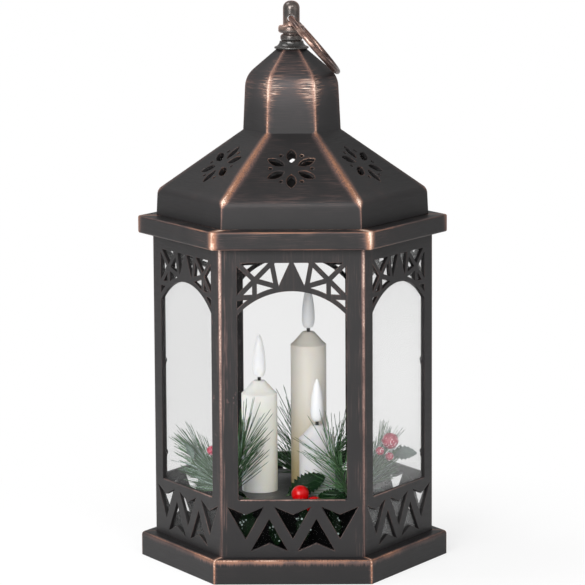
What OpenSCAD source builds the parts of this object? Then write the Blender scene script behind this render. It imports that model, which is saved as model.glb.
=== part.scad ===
// Six-sided LED lantern: glazed lattice panels between a plinth and an eave
// collar, a pierced roof with a cupola, a finial with a swinging ring, and
// three LED candles among pine and holly on a raised battery housing.
// Millimetres. Origin at the middle of the foot, +Z up, front panel at -Y.

/* [Base] */
// How far the plinth's corners stand out past the body
plinth_out = 7.6; // [5:0.2:11]
// Height of the deck that the panels stand on
deck_z = 13; // [12:0.5:16]
// Wall thickness of the plinth and its deck
plinth_t = 2.4; // [2:0.1:2.8]
// Rounding of the plinth's top edge
plinth_round = 2; // [1:0.1:2.4]
// Thickness of the plate that closes the base
cover_t = 2; // [1.6:0.1:2.2]

/* [Body] */
// Corner radius of the glazed body
body_r = 75; // [68:0.5:84]
// Thickness of the panels
panel_t = 1.9; // [1.6:0.1:2.6]
// Height of the window's sill
sill_z = 43.7; // [43:0.1:48]
// Height of the lattice's top edge
lattice_z = 168.7; // [166:0.1:170]
// Width of the posts beside each window
post_w = 9.1; // [8:0.1:10]
// Width of the lattice strips
strut_w = 2.5; // [2:0.1:3]
// Thickness of the clear panes
pane_t = 0.8; // [0.6:0.1:1.2]

/* [Roof] */
// Height of the plain band between the lattice and the eave collar
band_h = 7.4; // [6.5:0.1:11]
// How far the eave collar's corners stand out past the body
eave_out = 7.6; // [7:0.2:11]
// Height of the eave collar
collar_h = 9.5; // [9:0.1:12]
// Corner radius of the roof's skirt
skirt_r = 72.7; // [71.8:0.1:73.6]
// Corner radius of the cupola's foot
cupola_r = 26; // [25:0.1:27]
// Thickness of the roof's shell
roof_t = 2.2; // [1.8:0.1:2.6]
// Length of a rosette petal
petal_len = 9.9; // [8:0.1:11]
// Width of a rosette petal
petal_w = 5; // [4:0.1:6]

/* [Finial] */
// Radius of the finial's post
post_r = 4.45; // [4:0.05:5]
// Wire radius of the ring
ring_wire_r = 1.5; // [1.2:0.05:1.7]
// Mean radius of the ring
ring_r = 18.75; // [18:0.25:20]

/* [Candles] */
// Radius of the candles
candle_r = 9.6; // [9:0.1:9.8]
// Rim heights of the tall, medium and short candles above their platform
candle_h = [77.4, 53.1, 30.3]; // [24:0.1:90]
// Height of a flame
flame_h = 23; // [20:0.5:26]
// Greatest radius of a flame
flame_r = 3.5; // [3:0.1:4]
// Height of the platform that the candles stand on
platform_z = 38; // [37:0.5:40]

/* [Greenery] */
// Length of the pine needles
needle_len = 22; // [18:0.5:24]
// Radius of a pine needle at its root
needle_r = 0.55; // [0.45:0.05:0.6]
// Radius of the loose red berries
berry_r = 4.7; // [4:0.1:5]

/* [Hidden] */
$fn = 64;
c30 = cos(30);
t30 = tan(30);
gap = 0.3;
seam = 0.05;

// Base levels and widths
plinth_r = body_r + plinth_out;
skin_r = plinth_t / c30;
deck_under = deck_z - plinth_t;
groove_d = 1;
cover_z = 1.6;
cover_top = cover_z + cover_t;
cover_play = 0.6;
cover_r = plinth_r - skin_r - cover_play;
boss_r = 3.2;
boss_in = 0.9;
screw_r = 1.1;
screw_ring = (plinth_r - skin_r) * c30 - boss_r - boss_in;
screw_head_r = 2.6;
screw_head_h = 1.2;
screw_spare = 1.6;
slot_size = [3, 0.7, 0.6];
platform_gap = 24;
platform_r = body_r - platform_gap;
platform_t = 2;
spigot_d = 1.5;
spigot_rim = 3;
lead_hole_r = 3.2;
well_r = platform_r - platform_t / c30 - 0.4;

// Body levels and widths
body_a = body_r * c30;
inner_a = body_a - panel_t;
panel_bottom = deck_z - groove_d + seam;
collar_plate = 2.5;
collar_z = lattice_z + band_h;
collar_top = collar_z + collar_h;
panel_top = collar_top - collar_plate - seam;
corner_round = 2;
win_w = body_r / 2 - post_w;
arch_r = 38.1 * win_w / 28.4;
arch_rise = 14.8;
arch_z = lattice_z - arch_rise - arch_r;
arch_shift = 1.2;
arch_band_r = arch_r + 1.4;
zig_pitch = 12.35 * body_r / 75;
zig_w = 9.7;
zig_h = 17.2;
zig_notch = 4.2;
zig_drop = 3.8;
zig_span = 23.6;
zig_top = sill_z - zig_drop;
zig_foot = zig_top - zig_span;
lap = 3.2;
pane_z0 = deck_z + seam;
pane_z1 = lattice_z + lap;
pane_gap = 0.1;
peg_r = 1;
peg_head_r = 1.4;
peg_head_t = 0.5;
peg_sink = 0.4;
peg_play = 0.1;
peg_x = win_w + lap / 2 + 1;
pane_rim = 0.8;
pane_w = peg_x + peg_r + pane_rim;
peg_z = [sill_z + 12, (sill_z + lattice_z) / 2, lattice_z - 22];

// Collar widths, as corner radii
collar_r = body_r + eave_out;
rib_t = 1.6;
rib_h = 3.4;
groove_in = (inner_a - 0.15) / c30;
groove_out = (body_a + 0.15) / c30;
eave_t = 2.2 / c30;
lip_out = skirt_r - (roof_t + 0.25) / c30 - 0.2;
lip_in = min(lip_out - 2, groove_in - rib_t - 0.5);
lip_h = 3;
edge_round = 1;

// Roof profile as corner radius and height, from the skirt to the crown
skirt_h = 14;
slope_h = 31.9;
cupola_h = 28.7;
crown_h = 14.2;
crown_r = 7.9;
skirt_draft = 0.7;
cupola_draft = 1.4;
eave_round = 5;
foot_round = 0.4;
shoulder_round = 13;
eave_z = collar_top + skirt_h;
foot_z = eave_z + slope_h;
shoulder_z = foot_z + cupola_h;
crown_z = shoulder_z + crown_h;
roof_line = [[skirt_r, collar_top + seam], [skirt_r - skirt_draft, eave_z], [cupola_r, foot_z],
             [cupola_r - cupola_draft, shoulder_z], [crown_r, crown_z]];
roof_round = [0, eave_round, foot_round, shoulder_round, 0];
shell = roof_t / c30;
crown_t = 2.4;
slope_a = [c30 * roof_line[1][0], roof_line[1][1]];
slope_b = [c30 * roof_line[2][0], roof_line[2][1]];
slope_tilt = atan2(slope_b[1] - slope_a[1], slope_a[0] - slope_b[0]);
rosette_in = 4.3;
rosette_at = 0.49;
dot_r = 1;
dot_ring = 10.9;

// Finial levels
bell_r = 9.2;
bell_h = 4.1;
bell_edge = 0.6;
bell_flare = 3.1;
bore_play = 0.2;
bead_round = 1.3;
bead2_r = 5.9;
bead2_h = 3.6;
bead1_r = 7;
bead1_h = 4.1;
bead_gap = 0.7;
post_h = 13;
eye_up = 3.5;
post_dome = 3.9;
bell_z = crown_z + seam;
bead2_z = bell_z + bell_h;
bead1_z = bead2_z + bead2_h + bead_gap;
post_z = bead1_z + bead1_h;
eye_z = post_z + eye_up;
top_z = post_z + post_h;
eye_r = 2.1;
eye_dish = 0.5;
shank_r = 2.9;
nut_r = 4.6;
nut_lip = 0.5;
nut_lip_h = 1;
nut_h = 4;
shank_end = crown_z - crown_t - nut_h - 2;

// Ring: its wire stays clear of the eye at both mouths of the hole
ring_shift = 0.25;
ring_reach = 2 * ring_r - ring_shift;

// Candle places: x, y
candle_at = [[8.2, 1.2], [-18.15, -11.7], [12.76, -20]];
cone_h = 6.6;
cone_r = 3.1;
cone_edge = 0.7;
rim_edge = 0.3;
rim_slope = [1.8, 1.3];
candle_wall = 1.6;
wick_r = 0.9;
wick_play = 0.15;
wick_sink = 2.8;
socket_d = 3;
neck_h = 2;
flame_t = 0.7;
flame_hole = wick_r + wick_play;
lead_r = 0.45;
lead_pitch = 1.2;
lead_tail = 0.6;
lead_stop = 4.2;
led_r = 1.2;
led_h = 1.4;
led_up = 2.3;

// Electrics
cell_r = 5.25;
cell_len = 43.3;
nub_r = 1.9;
nub_len = 1.2;
cell_pitch = 11.2;
tray_x = 52;
tray_y = 38.4;
tray_t = 1.4;
cell_z = cover_top + 0.6 + cell_r;
tray_roof = cell_z + cell_r + gap;
tray_top = tray_roof + tray_t;
plate_t = 0.4;
plate_w = 8.4;
plate_h = 8;
spring_r = [3.6, 2];
board_gap = 2;
board_t = 1.6;
board_z = tray_top + board_gap;
board_size = [50, 38];
board_at = [-2, -8];
board_post_r = 2;
board_posts = [for (x = [-22, 18], y = [-13, 9]) [x, y]];
chip_at = [-8, 4];
chip_size = [8, 5, 1.6];
can_at = [-2, -6];
can_r = 2.5;
can_h = 6;
plug_at = [2, -22];
plug_size = [6, 2.4, 1.8];
door_gap = 0.4;
door_x = tray_x - 2;
door_y = tray_y - 2;
hinge_y = -door_y / 2;
hinge_z = cover_z + cover_t / 2;
tab_w = 6;
tab_x = 15;
tab_reach = 2.6;
tab_t = 1.2;
tab_play = 0.6;
tab_room = 4.2;
latch_x = 6;
latch_len = 10;
latch_slit = 1;
notch_r = 0.9;
notch_w = 7;
switch_at = [0, 33];
knob_w = 3.4;
knob_d = 2.6;
travel = 3;
knob_pocket = 3;
knob_foot = 0.6;
knob_rib = 0.3;
switch_size = [13, 6, 5.4];

// Greenery places follow the platform: x and y for one of radius places_r, and the height above it
places_r = 51;
function at(x, y, h) = [x * platform_r / places_r, y * platform_r / places_r, platform_z + h];

// Twigs as root, middle and tip, then the number of needles
twigs_left = [
    [at(-34, -19, 0.9), at(-42, -13.5, 8), at(-50, -7.5, 17), 70],
    [at(-33, -27, 0.9), at(-31, -30, 13), at(-26, -32, 28), 66]];
twigs_right = [
    [at(36, -14, 0.9), at(42, -12, 9), at(46, -9, 18), 60],
    [at(28, -35, 0.9), at(28, -37, 13), at(18.5, -37.5, 26), 66]];
twigs_back = [
    [at(1.5, 25, 0.9), at(1.2, 26, 14), at(0.6, 25, 30), 54],
    [at(16, 27, 0.9), at(20, 28, 8), at(26, 26, 18), 42]];
twig_r = 0.9;
twig_parts = 5;
needle_tilt = 38;
needle_min = 7;
needle_sink = 0.3;
golden = 137.508;

// Leaves: middle, turn about Z, lift, roll, length and the foot of a wire stem, if any
leaf_t = 0.7;
leaf_root = 1.1;
leaf_wide = 0.3;
leaf_bow = 0.06;
leaf_fold = 16;
spines = 5;
stem_r = 0.45;
foot_up = 0.6;
platform_a = platform_r * c30;
leaves_front = [
    [at(7, -38.3, 8), 0, 27, 64, 21.5],
    [at(-30, -36, 2.9), 150, 10, 40, 13],
    [at(20.5, -42.2, 2.6), -8, -2, 48, 15]];
low_y = -platform_a - 4.9;
leaves_low = [
    [[-24, low_y, platform_z - 10.5], -90, -70, 8, 17],
    [[-9, low_y, platform_z - 13], -78, -70, -10, 18],
    [[6, low_y, platform_z - 11], -96, -70, 6, 17],
    [[21, low_y, platform_z - 12.5], -84, -70, -8, 17]];
leaves_left = [
    [at(-55.6, -17.5, 22), 175, 66, 50, 10.5, at(-38, -18, foot_up)],
    [at(-55.5, -7, 8.2), 178, 22, 24, 14, at(-42.5, -4.5, foot_up)]];
leaves_right = [
    [at(59, -7, 18.6), 0, 4, 55, 14.5, at(43.5, -5.5, foot_up)],
    [at(43.3, -27.8, 2.5), -36, 8, -8, 15]];
berries = [at(3.8, -46.6, berry_r + 0.2), [11.2, -platform_a - berry_r - gap, platform_z - 0.6]];

// Glitter berries: middle, radius and the foot of the wire stem
glitter = [
    [at(51.8, -15.5, 27.2), 4.7, at(39, -17.5, gap)],
    [at(46.3, -20.5, 22.7), 2.4, at(38, -21, gap)],
    [at(51.4, -19.5, 19.5), 2.3, at(35.5, -22.5, gap)],
    [at(-43.6, -21.5, 23.5), 2.8, at(-34, -23.5, gap)]];

// Points along an arc of radius r about c, from angle a to angle b
function arc(c, r, a, b, n) = [for (i = [0:n])
    let (t = a + (b - a) * i / n)
    c + r * [cos(t), sin(t)]];
function unit(v) = v / norm(v);
function left_of(v) = [-v[1], v[0]];
function flat(l) = [for (a = l) for (b = a) b];

// The rounding of corner b between a and c, as points from one tangent to the other
function fillet(a, b, c, r, n) =
    let (u = unit(a - b), v = unit(c - b), half = acos(u * v) / 2, m = unit(u + v))
    let (o = b + m * r / sin(half), p = b + u * r / tan(half), q = b + v * r / tan(half))
    let (a0 = atan2(p[1] - o[1], p[0] - o[0]), a1 = atan2(q[1] - o[1], q[0] - o[0]))
    let (turn = (a1 - a0 + 540) % 360 - 180)
    arc(o, r, a0, a0 + turn, n);
function rounded(pts, radii, n) = flat([for (i = [0:len(pts) - 1])
    radii[i] == 0 || i == 0 || i == len(pts) - 1 ? [pts[i]]
        : fillet(pts[i - 1], pts[i], pts[i + 1], radii[i], n)]);

// Where two lines meet, each given by a point and a direction
function meet(p, u, q, v) = p + u * ((q - p) * left_of(v)) / (u * left_of(v));
// An open line set off by d to its left
function set_off(pts, d) = [for (i = [0:len(pts) - 1])
    let (u = unit(pts[max(i, 1)] - pts[max(i, 1) - 1]))
    let (k = min(i, len(pts) - 2), v = unit(pts[k + 1] - pts[k]))
    let (p = pts[i] + d * left_of(u), q = pts[i] + d * left_of(v))
    norm(u - v) < 1e-6 ? p : meet(p, u, q, v)];

// Six-sided turning of a profile given as corner radius and height
module hex_turn(pts) {
    rotate_extrude($fn = 6)
        polygon(pts);
}

module hex_plate(r, z0, z1) {
    translate([0, 0, z0])
        linear_extrude(z1 - z0)
            circle(r, $fn = 6);
}

module turned(pts) {
    rotate_extrude()
        polygon(pts);
}

module block(x, y, z0, z1) {
    translate([-x / 2, -y / 2, z0])
        cube([x, y, z1 - z0]);
}

// A flat strip of width w from p to q
module strip(p, q, w) {
    s = w / 2 * left_of(unit(q - p));
    polygon([p + s, p - s, q - s, q + s]);
}

// BASE
module screw_places() {
    for (k = [0:5])
        rotate(60 * k + 30)
            translate([screw_ring, 0, 0])
                children();
}

module base_plinth() {
    r = plinth_r;
    color([0.24, 0.23, 0.23])
        difference() {
            union() {
                hex_turn(concat([[well_r, deck_under], [r - skin_r, deck_under], [r - skin_r, 0], [r, 0]],
                                arc([r - plinth_round, deck_z - plinth_round], plinth_round, 0, 90, 5),
                                [[groove_out, deck_z], [groove_out, deck_z - groove_d],
                                 [groove_in, deck_z - groove_d], [groove_in, deck_z], [well_r, deck_z]]));
                screw_places()
                    translate([0, 0, cover_top + seam])
                        cylinder(r = boss_r, h = deck_under - cover_top);
            }
            screw_places()
                translate([0, 0, cover_top - 1])
                    cylinder(r = screw_r + seam, h = deck_under - cover_top);
        }
}

module bottom_cover() {
    color([0.13, 0.13, 0.13])
        difference() {
            hex_plate(cover_r, cover_z, cover_top);
            screw_places()
                cylinder(r = screw_r + gap, h = deck_z);
            translate([0, -cover_t / 4, 0])
                block(door_x + 2 * door_gap, door_y + cover_t / 2 + 2 * door_gap, 0, deck_z);
            translate(switch_at)
                block(knob_w + 2 * travel + 1, knob_d + 2 * gap, 0, deck_z);
        }
}

module cover_screws() {
    color([0.62, 0.62, 0.6])
        screw_places()
            difference() {
                union() {
                    translate([0, 0, cover_z - screw_head_h - seam])
                        cylinder(r = screw_head_r, h = screw_head_h);
                    translate([0, 0, cover_z - 2 * seam])
                        cylinder(r = screw_r, h = deck_under - cover_z - screw_spare);
                }
                for (a = [0, 90])
                    rotate(a)
                        block(slot_size[0], slot_size[1], 0, cover_z - screw_head_h + slot_size[2]);
            }
}

module battery_tray() {
    color([0.12, 0.12, 0.12])
        difference() {
            union() {
                block(tray_x + 2 * tray_t, tray_y + 2 * tray_t, cover_top + seam, tray_top);
                for (p = board_posts)
                    translate([p[0], p[1], tray_top - tray_t])
                        cylinder(r = board_post_r, h = tray_t + board_gap - seam);
            }
            block(tray_x, tray_y, 0, tray_roof);
            for (x = [-1, 1])
                translate([x * tab_x, hinge_y - tab_reach, cover_top])
                    block(tab_w + 2 * tab_play, 2 * tab_reach + 3, -1, 2 * tab_t + tab_room);
        }
}

module battery_door() {
    color([0.13, 0.13, 0.13])
        difference() {
            union() {
                translate([-door_x / 2, hinge_y, cover_z])
                    cube([door_x, door_y, cover_t]);
                translate([-door_x / 2, hinge_y, hinge_z])
                    rotate([0, 90, 0])
                        cylinder(r = cover_t / 2, h = door_x);
                for (x = [-1, 1])
                    translate([x * tab_x - tab_w / 2, hinge_y, 0]) {
                        translate([0, 0, cover_top - 0.5])
                            cube([tab_w, 1.4, gap + 0.6 + tab_t - 0.1]);
                        translate([0, -tab_reach, cover_top + gap + 0.1])
                            cube([tab_w, tab_reach + 0.5, tab_t - 0.1]);
                    }
            }
            for (x = [-1, 1])
                translate([x * latch_x, (door_y - latch_len) / 2 + 0.5, 0])
                    block(latch_slit, latch_len, 0, deck_z);
            translate([0, door_y / 2 - 1.5, cover_z])
                rotate([0, 90, 0])
                    cylinder(r = notch_r, h = notch_w, center = true);
        }
}

module cell_rows() {
    for (i = [-1:1])
        translate([0, i * cell_pitch, cell_z])
            rotate([0, 0, i == 0 ? 180 : 0])
                children();
}

cell_end = tray_x / 2 - plate_t - 2 * seam - nub_len;
module batteries() {
    color([0.3, 0.34, 0.36])
        cell_rows()
            rotate([0, 90, 0]) {
                translate([0, 0, cell_end - cell_len])
                    cylinder(r = cell_r, h = cell_len);
                translate([0, 0, cell_end])
                    cylinder(r = nub_r, h = nub_len);
            }
}

module contact_springs() {
    spring_len = tray_x / 2 - plate_t + cell_end - cell_len - 3 * seam;
    color([0.75, 0.74, 0.7])
        cell_rows()
            translate([-tray_x / 2 + plate_t + 2 * seam, 0, 0])
                rotate([0, 90, 0])
                    cylinder(r1 = spring_r[0], r2 = spring_r[1], h = spring_len);
}

module contact_plates() {
    color([0.75, 0.74, 0.7])
        for (side = [-1, 1], i = [-1:1])
            translate([side * (tray_x / 2 - plate_t / 2 - seam), i * cell_pitch, 0])
                block(plate_t, plate_w, cell_z - plate_h / 2, cell_z + plate_h / 2);
}

module circuit_board() {
    color([0.1, 0.3, 0.16])
        difference() {
            translate(board_at)
                block(board_size[0], board_size[1], board_z, board_z + board_t);
            for (c = candle_at, side = [-1, 1])
                translate([c[0] + side * lead_pitch, c[1], 0])
                    cylinder(r = lead_r + seam, h = 2 * board_z);
        }
}

module board_parts() {
    top = board_z + board_t + seam;
    color([0.1, 0.1, 0.1]) {
        translate(chip_at)
            block(chip_size[0], chip_size[1], top, top + chip_size[2]);
        translate([can_at[0], can_at[1], top])
            cylinder(r = can_r, h = can_h);
        translate(plug_at)
            block(plug_size[0], plug_size[1], top, top + plug_size[2]);
    }
}

module switch_body() {
    s = switch_size;
    color([0.6, 0.6, 0.58])
        translate(switch_at)
            difference() {
                block(s[0], s[1], cover_top + seam, cover_top + s[2]);
                block(knob_w + 2 * travel + 1, knob_d + 2 * gap, 0, cover_top + knob_pocket);
            }
}

module switch_knob() {
    color([0.08, 0.08, 0.08])
        translate(switch_at)
            difference() {
                block(knob_w, knob_d, knob_foot, cover_top + knob_pocket - gap);
                for (x = [-1, 0, 1])
                    translate([x, 0, 0])
                        block(0.4, knob_d + 1, 0, knob_foot + knob_rib);
            }
}

module candle_platform() {
    inner = platform_r - platform_t / c30;
    top = platform_z - platform_t;
    color([0.15, 0.15, 0.15])
        difference() {
            union() {
                hex_plate(platform_r, deck_z + seam, platform_z);
                hex_plate(well_r - gap, deck_z - spigot_d, deck_z + 1);
            }
            hex_plate(inner, deck_z + 1, top);
            hex_plate(inner - spigot_rim, 0, top);
            for (c = candle_at)
                translate(c)
                    cylinder(r = lead_hole_r, h = 2 * platform_z);
        }
}

// BODY
module panel_plan() {
    o = body_a - corner_round;
    side = concat([[inner_a * t30 - seam, -inner_a]],
                  [for (p = arc([o * t30, -o], corner_round, -60, -90, 4)) p - [seam, 0]]);
    mirror_side = [for (i = [len(side) - 1:-1:0]) [-side[i][0], side[i][1]]];
    polygon(concat(side, mirror_side));
}

module lattice_half() {
    corner = [-win_w, lattice_z];
    knot = [-win_w * 0.676, lattice_z - 9.2];
    head = [-win_w * 0.36, lattice_z];
    land = [-win_w * 0.28, lattice_z - 12.4];
    side = [-win_w, lattice_z - 18.5];
    w = strut_w;
    strip(corner + [-2, 2], knot, w);
    strip(head + [2, 2], side + [-2, -2], w);
    strip(head + [-0.4, 2], land + [0.2, -1], w);
    strip(knot, land + [1, -0.3], w);
    strip(knot, knot - [0, 10], w);
    strip(side + [-2, 0], side + [10, 0.6], w);
}

module lattice() {
    intersection() {
        translate([-win_w - 1, arch_z + arch_r / 2])
            square([2 * win_w + 2, lattice_z + 1 - arch_z - arch_r / 2]);
        difference() {
            union() {
                translate([0, arch_z + arch_shift])
                    circle(arch_band_r);
                lattice_half();
                mirror([1, 0])
                    lattice_half();
                polygon([[-0.6, lattice_z + 1], [-7.9, arch_z + arch_r], [7.9, arch_z + arch_r],
                         [0.6, lattice_z + 1]]);
            }
            translate([0, arch_z])
                circle(arch_r);
        }
    }
}

module zigzag() {
    for (i = [-2:2]) {
        s = i % 2 == 0 ? 1 : -1;
        z = s > 0 ? zig_top : zig_foot;
        polygon([[i * zig_pitch - zig_w, z], [i * zig_pitch, z - s * zig_notch],
                 [i * zig_pitch + zig_w, z], [i * zig_pitch, z - s * zig_h]]);
    }
}

module panel_face() {
    difference() {
        translate([-body_r / 2, panel_bottom])
            square([body_r, panel_top - panel_bottom]);
        difference() {
            translate([-win_w, sill_z])
                square([2 * win_w, lattice_z - sill_z]);
            lattice();
        }
        zigzag();
    }
}

module peg_places() {
    for (x = [-1, 1], z = peg_z)
        translate([x * peg_x, -inner_a, z])
            rotate([-90, 0, 0])
                children();
}

module panel() {
    color([0.24, 0.23, 0.23]) {
        intersection() {
            translate([0, -inner_a, 0])
                rotate([90, 0, 0])
                    linear_extrude(panel_t)
                        panel_face();
            linear_extrude(2 * panel_top)
                panel_plan();
        }
        peg_places() {
            translate([0, 0, -peg_sink])
                cylinder(r = peg_r, h = peg_sink + pane_gap + pane_t + 2 * peg_play);
            translate([0, 0, pane_gap + pane_t + peg_play])
                cylinder(r = peg_head_r, h = peg_head_t);
        }
    }
}

module pane() {
    color([0.8, 0.85, 0.88, 0.3])
        difference() {
            translate([-pane_w, -inner_a + pane_gap, pane_z0])
                cube([2 * pane_w, pane_t, pane_z1 - pane_z0]);
            peg_places()
                translate([0, 0, -1])
                    cylinder(r = peg_r + peg_play, h = pane_t + 3);
        }
}

module panel_front() { panel(); }
module panel_front_right() { rotate(60) panel(); }
module panel_back_right() { rotate(120) panel(); }
module panel_back() { rotate(180) panel(); }
module panel_back_left() { rotate(240) panel(); }
module panel_front_left() { rotate(300) panel(); }
module pane_front() { pane(); }
module pane_front_right() { rotate(60) pane(); }
module pane_back_right() { rotate(120) pane(); }
module pane_back() { rotate(180) pane(); }
module pane_back_left() { rotate(240) pane(); }
module pane_front_left() { rotate(300) pane(); }

// ROOF
module eave_collar() {
    r = collar_r;
    under = collar_top - collar_plate;
    rib_z = under - rib_h;
    e = edge_round;
    color([0.24, 0.23, 0.23])
        hex_turn(concat(
            [[lip_in, under], [groove_in - rib_t, under], [groove_in - rib_t, rib_z], [groove_in, rib_z],
             [groove_in, under], [groove_out, under], [groove_out, rib_z], [groove_out + rib_t, rib_z],
             [groove_out + rib_t, under], [r - eave_t, under], [r - eave_t, collar_z]],
            arc([r - e, collar_z + e], e, -90, 0, 3), arc([r - e, collar_top - e], e, 0, 90, 3),
            [[lip_out, collar_top], [lip_out, collar_top + lip_h], [lip_in, collar_top + lip_h]]));
}

module petal() {
    q = petal_len / 2;
    b = (q * q - petal_w * petal_w / 4) / petal_w;
    linear_extrude(4 * roof_t, center = true)
        intersection_for (s = [-1, 1])
            translate([0, s * b])
                circle(b + petal_w / 2);
}

module rosette() {
    for (k = [0:5]) {
        rotate(60 * k + 30)
            translate([rosette_in + petal_len / 2, 0, 0])
                petal();
        rotate(60 * k)
            translate([dot_ring, 0, 0])
                cylinder(r = dot_r, h = 4 * roof_t, center = true);
    }
}

module roof() {
    outer = rounded(roof_line, roof_round, 6);
    under = set_off(roof_line, shell);
    crown_under = crown_z - crown_t;
    last = meet(under[3], under[4] - under[3], [0, crown_under], [1, 0]);
    inner = rounded([under[0], under[1], under[2], under[3], last],
                    [0, eave_round - shell, foot_round + shell, shoulder_round - shell, 0], 6);
    mid = slope_a + rosette_at * (slope_b - slope_a);
    color([0.24, 0.23, 0.23])
        difference() {
            hex_turn(concat(outer, [[0, crown_z], [0, crown_under]],
                            [for (i = [len(inner) - 1:-1:1]) inner[i]],
                            [[under[0][0], roof_line[0][1]]]));
            for (k = [0:5])
                rotate(60 * k)
                    translate([0, -mid[0], mid[1]])
                        rotate([slope_tilt, 0, 0])
                            rosette();
            cylinder(r = shank_r + gap, h = 2 * crown_z);
        }
}

// FINIAL
module finial_bell() {
    z = bell_z;
    color([0.24, 0.23, 0.23])
        turned(concat([[shank_r + bore_play, z]],
                      arc([bell_r - bell_edge, z + bell_edge], bell_edge, -90, 60, 5),
                      arc([bell_r + 0.2, z + bell_h + 0.1], bell_flare, 250, 182, 6),
                      [[shank_r + bore_play, z + bell_h]]));
}

// The outline of a band with rounded edges, from its foot up
function bead(r, z, h) = concat(arc([r - bead_round, z + bead_round], bead_round, -90, 0, 5),
                                arc([r - bead_round, z + h - bead_round], bead_round, 0, 90, 5));

module finial_post() {
    neck = bead2_r - bead_round;
    dome = post_dome;
    color([0.24, 0.23, 0.23])
        difference() {
            turned(concat([[0, shank_end], [shank_r, shank_end], [shank_r, bead2_z + seam],
                           [neck, bead2_z + seam]],
                          bead(bead2_r, bead2_z + seam, bead2_h - seam),
                          [[neck, bead2_z + bead2_h], [neck, bead1_z]],
                          bead(bead1_r, bead1_z, bead1_h),
                          [[post_r, post_z]],
                          arc([post_r - dome, top_z - dome], dome, 0, 90, 8),
                          [[0, top_z]]));
            translate([0, 0, eye_z])
                rotate([90, 0, 0])
                    cylinder(r = eye_r, h = 4 * post_r, center = true);
            for (side = [0, 180])
                translate([0, 0, eye_z])
                    rotate([90, 0, side])
                        translate([0, 0, post_r - eye_dish])
                            cylinder(r1 = eye_r, r2 = eye_r + 2 * eye_dish, h = 2 * eye_dish);
        }
}

module finial_nut() {
    top = crown_z - crown_t - seam;
    color([0.62, 0.62, 0.6])
        difference() {
            union() {
                hex_plate(nut_r, top - nut_h, top - nut_lip_h / 2);
                translate([0, 0, top - nut_lip_h])
                    cylinder(r = nut_r + nut_lip, h = nut_lip_h);
            }
            cylinder(r = shank_r + 0.1, h = 2 * crown_z);
        }
}

// The ring leans as far down as leaves its wire clear of the cupola's corner
cupola_pts = rounded(roof_line, roof_round, 24);
cupola_line = flat([for (i = [1:len(cupola_pts) - 1])
    [for (k = [0:11]) cupola_pts[i - 1] + (cupola_pts[i] - cupola_pts[i - 1]) * k / 12]]);
lean_step = 0.25;
function ring_end(a) = [ring_reach * cos(a), eye_z - ring_reach * sin(a)];
function cupola_gap(a) = min([for (p = cupola_line) norm(p - ring_end(a))]) - ring_wire_r;
ring_lean = min([for (a = [30:lean_step:70]) if (cupola_gap(a) < gap) a]) - lean_step;

module ring_handle() {
    color([0.2, 0.19, 0.19])
        translate([0, 0, eye_z])
            rotate([0, ring_lean, 0])
                translate([ring_r - ring_shift, 0, 0])
                    rotate_extrude()
                        translate([ring_r, 0])
                            circle(ring_wire_r, $fn = 24);
}

// CANDLES
function rim_z(i) = platform_z + candle_h[i];
function tip_z(i) = rim_z(i) + cone_h;
function flame_z(i) = tip_z(i) + neck_h;

module candle(i) {
    r = candle_r;
    in = r - candle_wall;
    rim = rim_z(i);
    tip = tip_z(i);
    color([0.93, 0.9, 0.82])
        translate(candle_at[i])
            turned([[in, platform_z + seam], [r, platform_z + seam], [r, rim - rim_edge],
                    [r - rim_edge, rim], [r - rim_slope[0], rim + rim_slope[1]],
                    [cone_r + cone_edge, tip - cone_edge], [cone_r, tip],
                    [wick_r + wick_play, tip], [wick_r + wick_play, tip - socket_d],
                    [cone_r, tip - socket_d - 0.4], [in, rim - candle_wall]]);
}

// A flame's outline: a rounded foot swells to the belly, then narrows to a round tip
belly_at = 0.2;
foot_share = 0.4;
flame_steps = 14;
function flame_swell(t) = t > belly_at ? 1
    : foot_share + (1 - foot_share) * sqrt(1 - pow(1 - t / belly_at, 2));
function flame_close(t) = t < belly_at ? 1
    : pow(1 - pow((t - belly_at) / (1 - belly_at), 1.9), 0.62);
function flame_line(r, h) = [for (k = [0:flame_steps])
    let (t = (1 - cos(180 * k / flame_steps)) / 2)
    [r * flame_swell(t) * flame_close(t), h * t]];

module flame(i) {
    outer = flame_line(flame_r, flame_h);
    core = flame_line(flame_r - flame_t, flame_h - 3);
    core_up = [for (k = [len(core) - 2:-1:1]) [core[k][0], core[k][1] + 1]];
    n = len(outer) - 1;
    color([0.96, 0.94, 0.88, 0.8])
        translate([candle_at[i][0], candle_at[i][1], flame_z(i)])
            turned(concat([[flame_hole, 0]], [for (k = [0:n - 1]) outer[k]],
                          [[0, flame_h], [0, flame_h - 2]], core_up, [[flame_hole, 1]]));
}

module wicks() {
    color([0.06, 0.06, 0.06])
        for (i = [0:2])
            translate([candle_at[i][0], candle_at[i][1], tip_z(i) - wick_sink])
                difference() {
                    cylinder(r = wick_r, h = wick_sink + neck_h + led_up - 2 * seam);
                    translate([0, 0, -1])
                        cylinder(r = wick_r / 2, h = 3);
                }
}

module leds() {
    color([0.95, 0.9, 0.7])
        for (i = [0:2])
            translate([candle_at[i][0], candle_at[i][1], flame_z(i) + led_up])
                turned(concat([[0, 0], [led_r, 0]], arc([0, led_h], led_r, 0, 80, 6),
                              [[0, led_h + led_r]]));
}

module led_leads() {
    color([0.75, 0.15, 0.12])
        for (i = [0:2], side = [-1, 1])
            translate([candle_at[i][0] + side * lead_pitch, candle_at[i][1], board_z - lead_tail])
                cylinder(r = lead_r, h = tip_z(i) - lead_stop - board_z + lead_tail);
}

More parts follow.
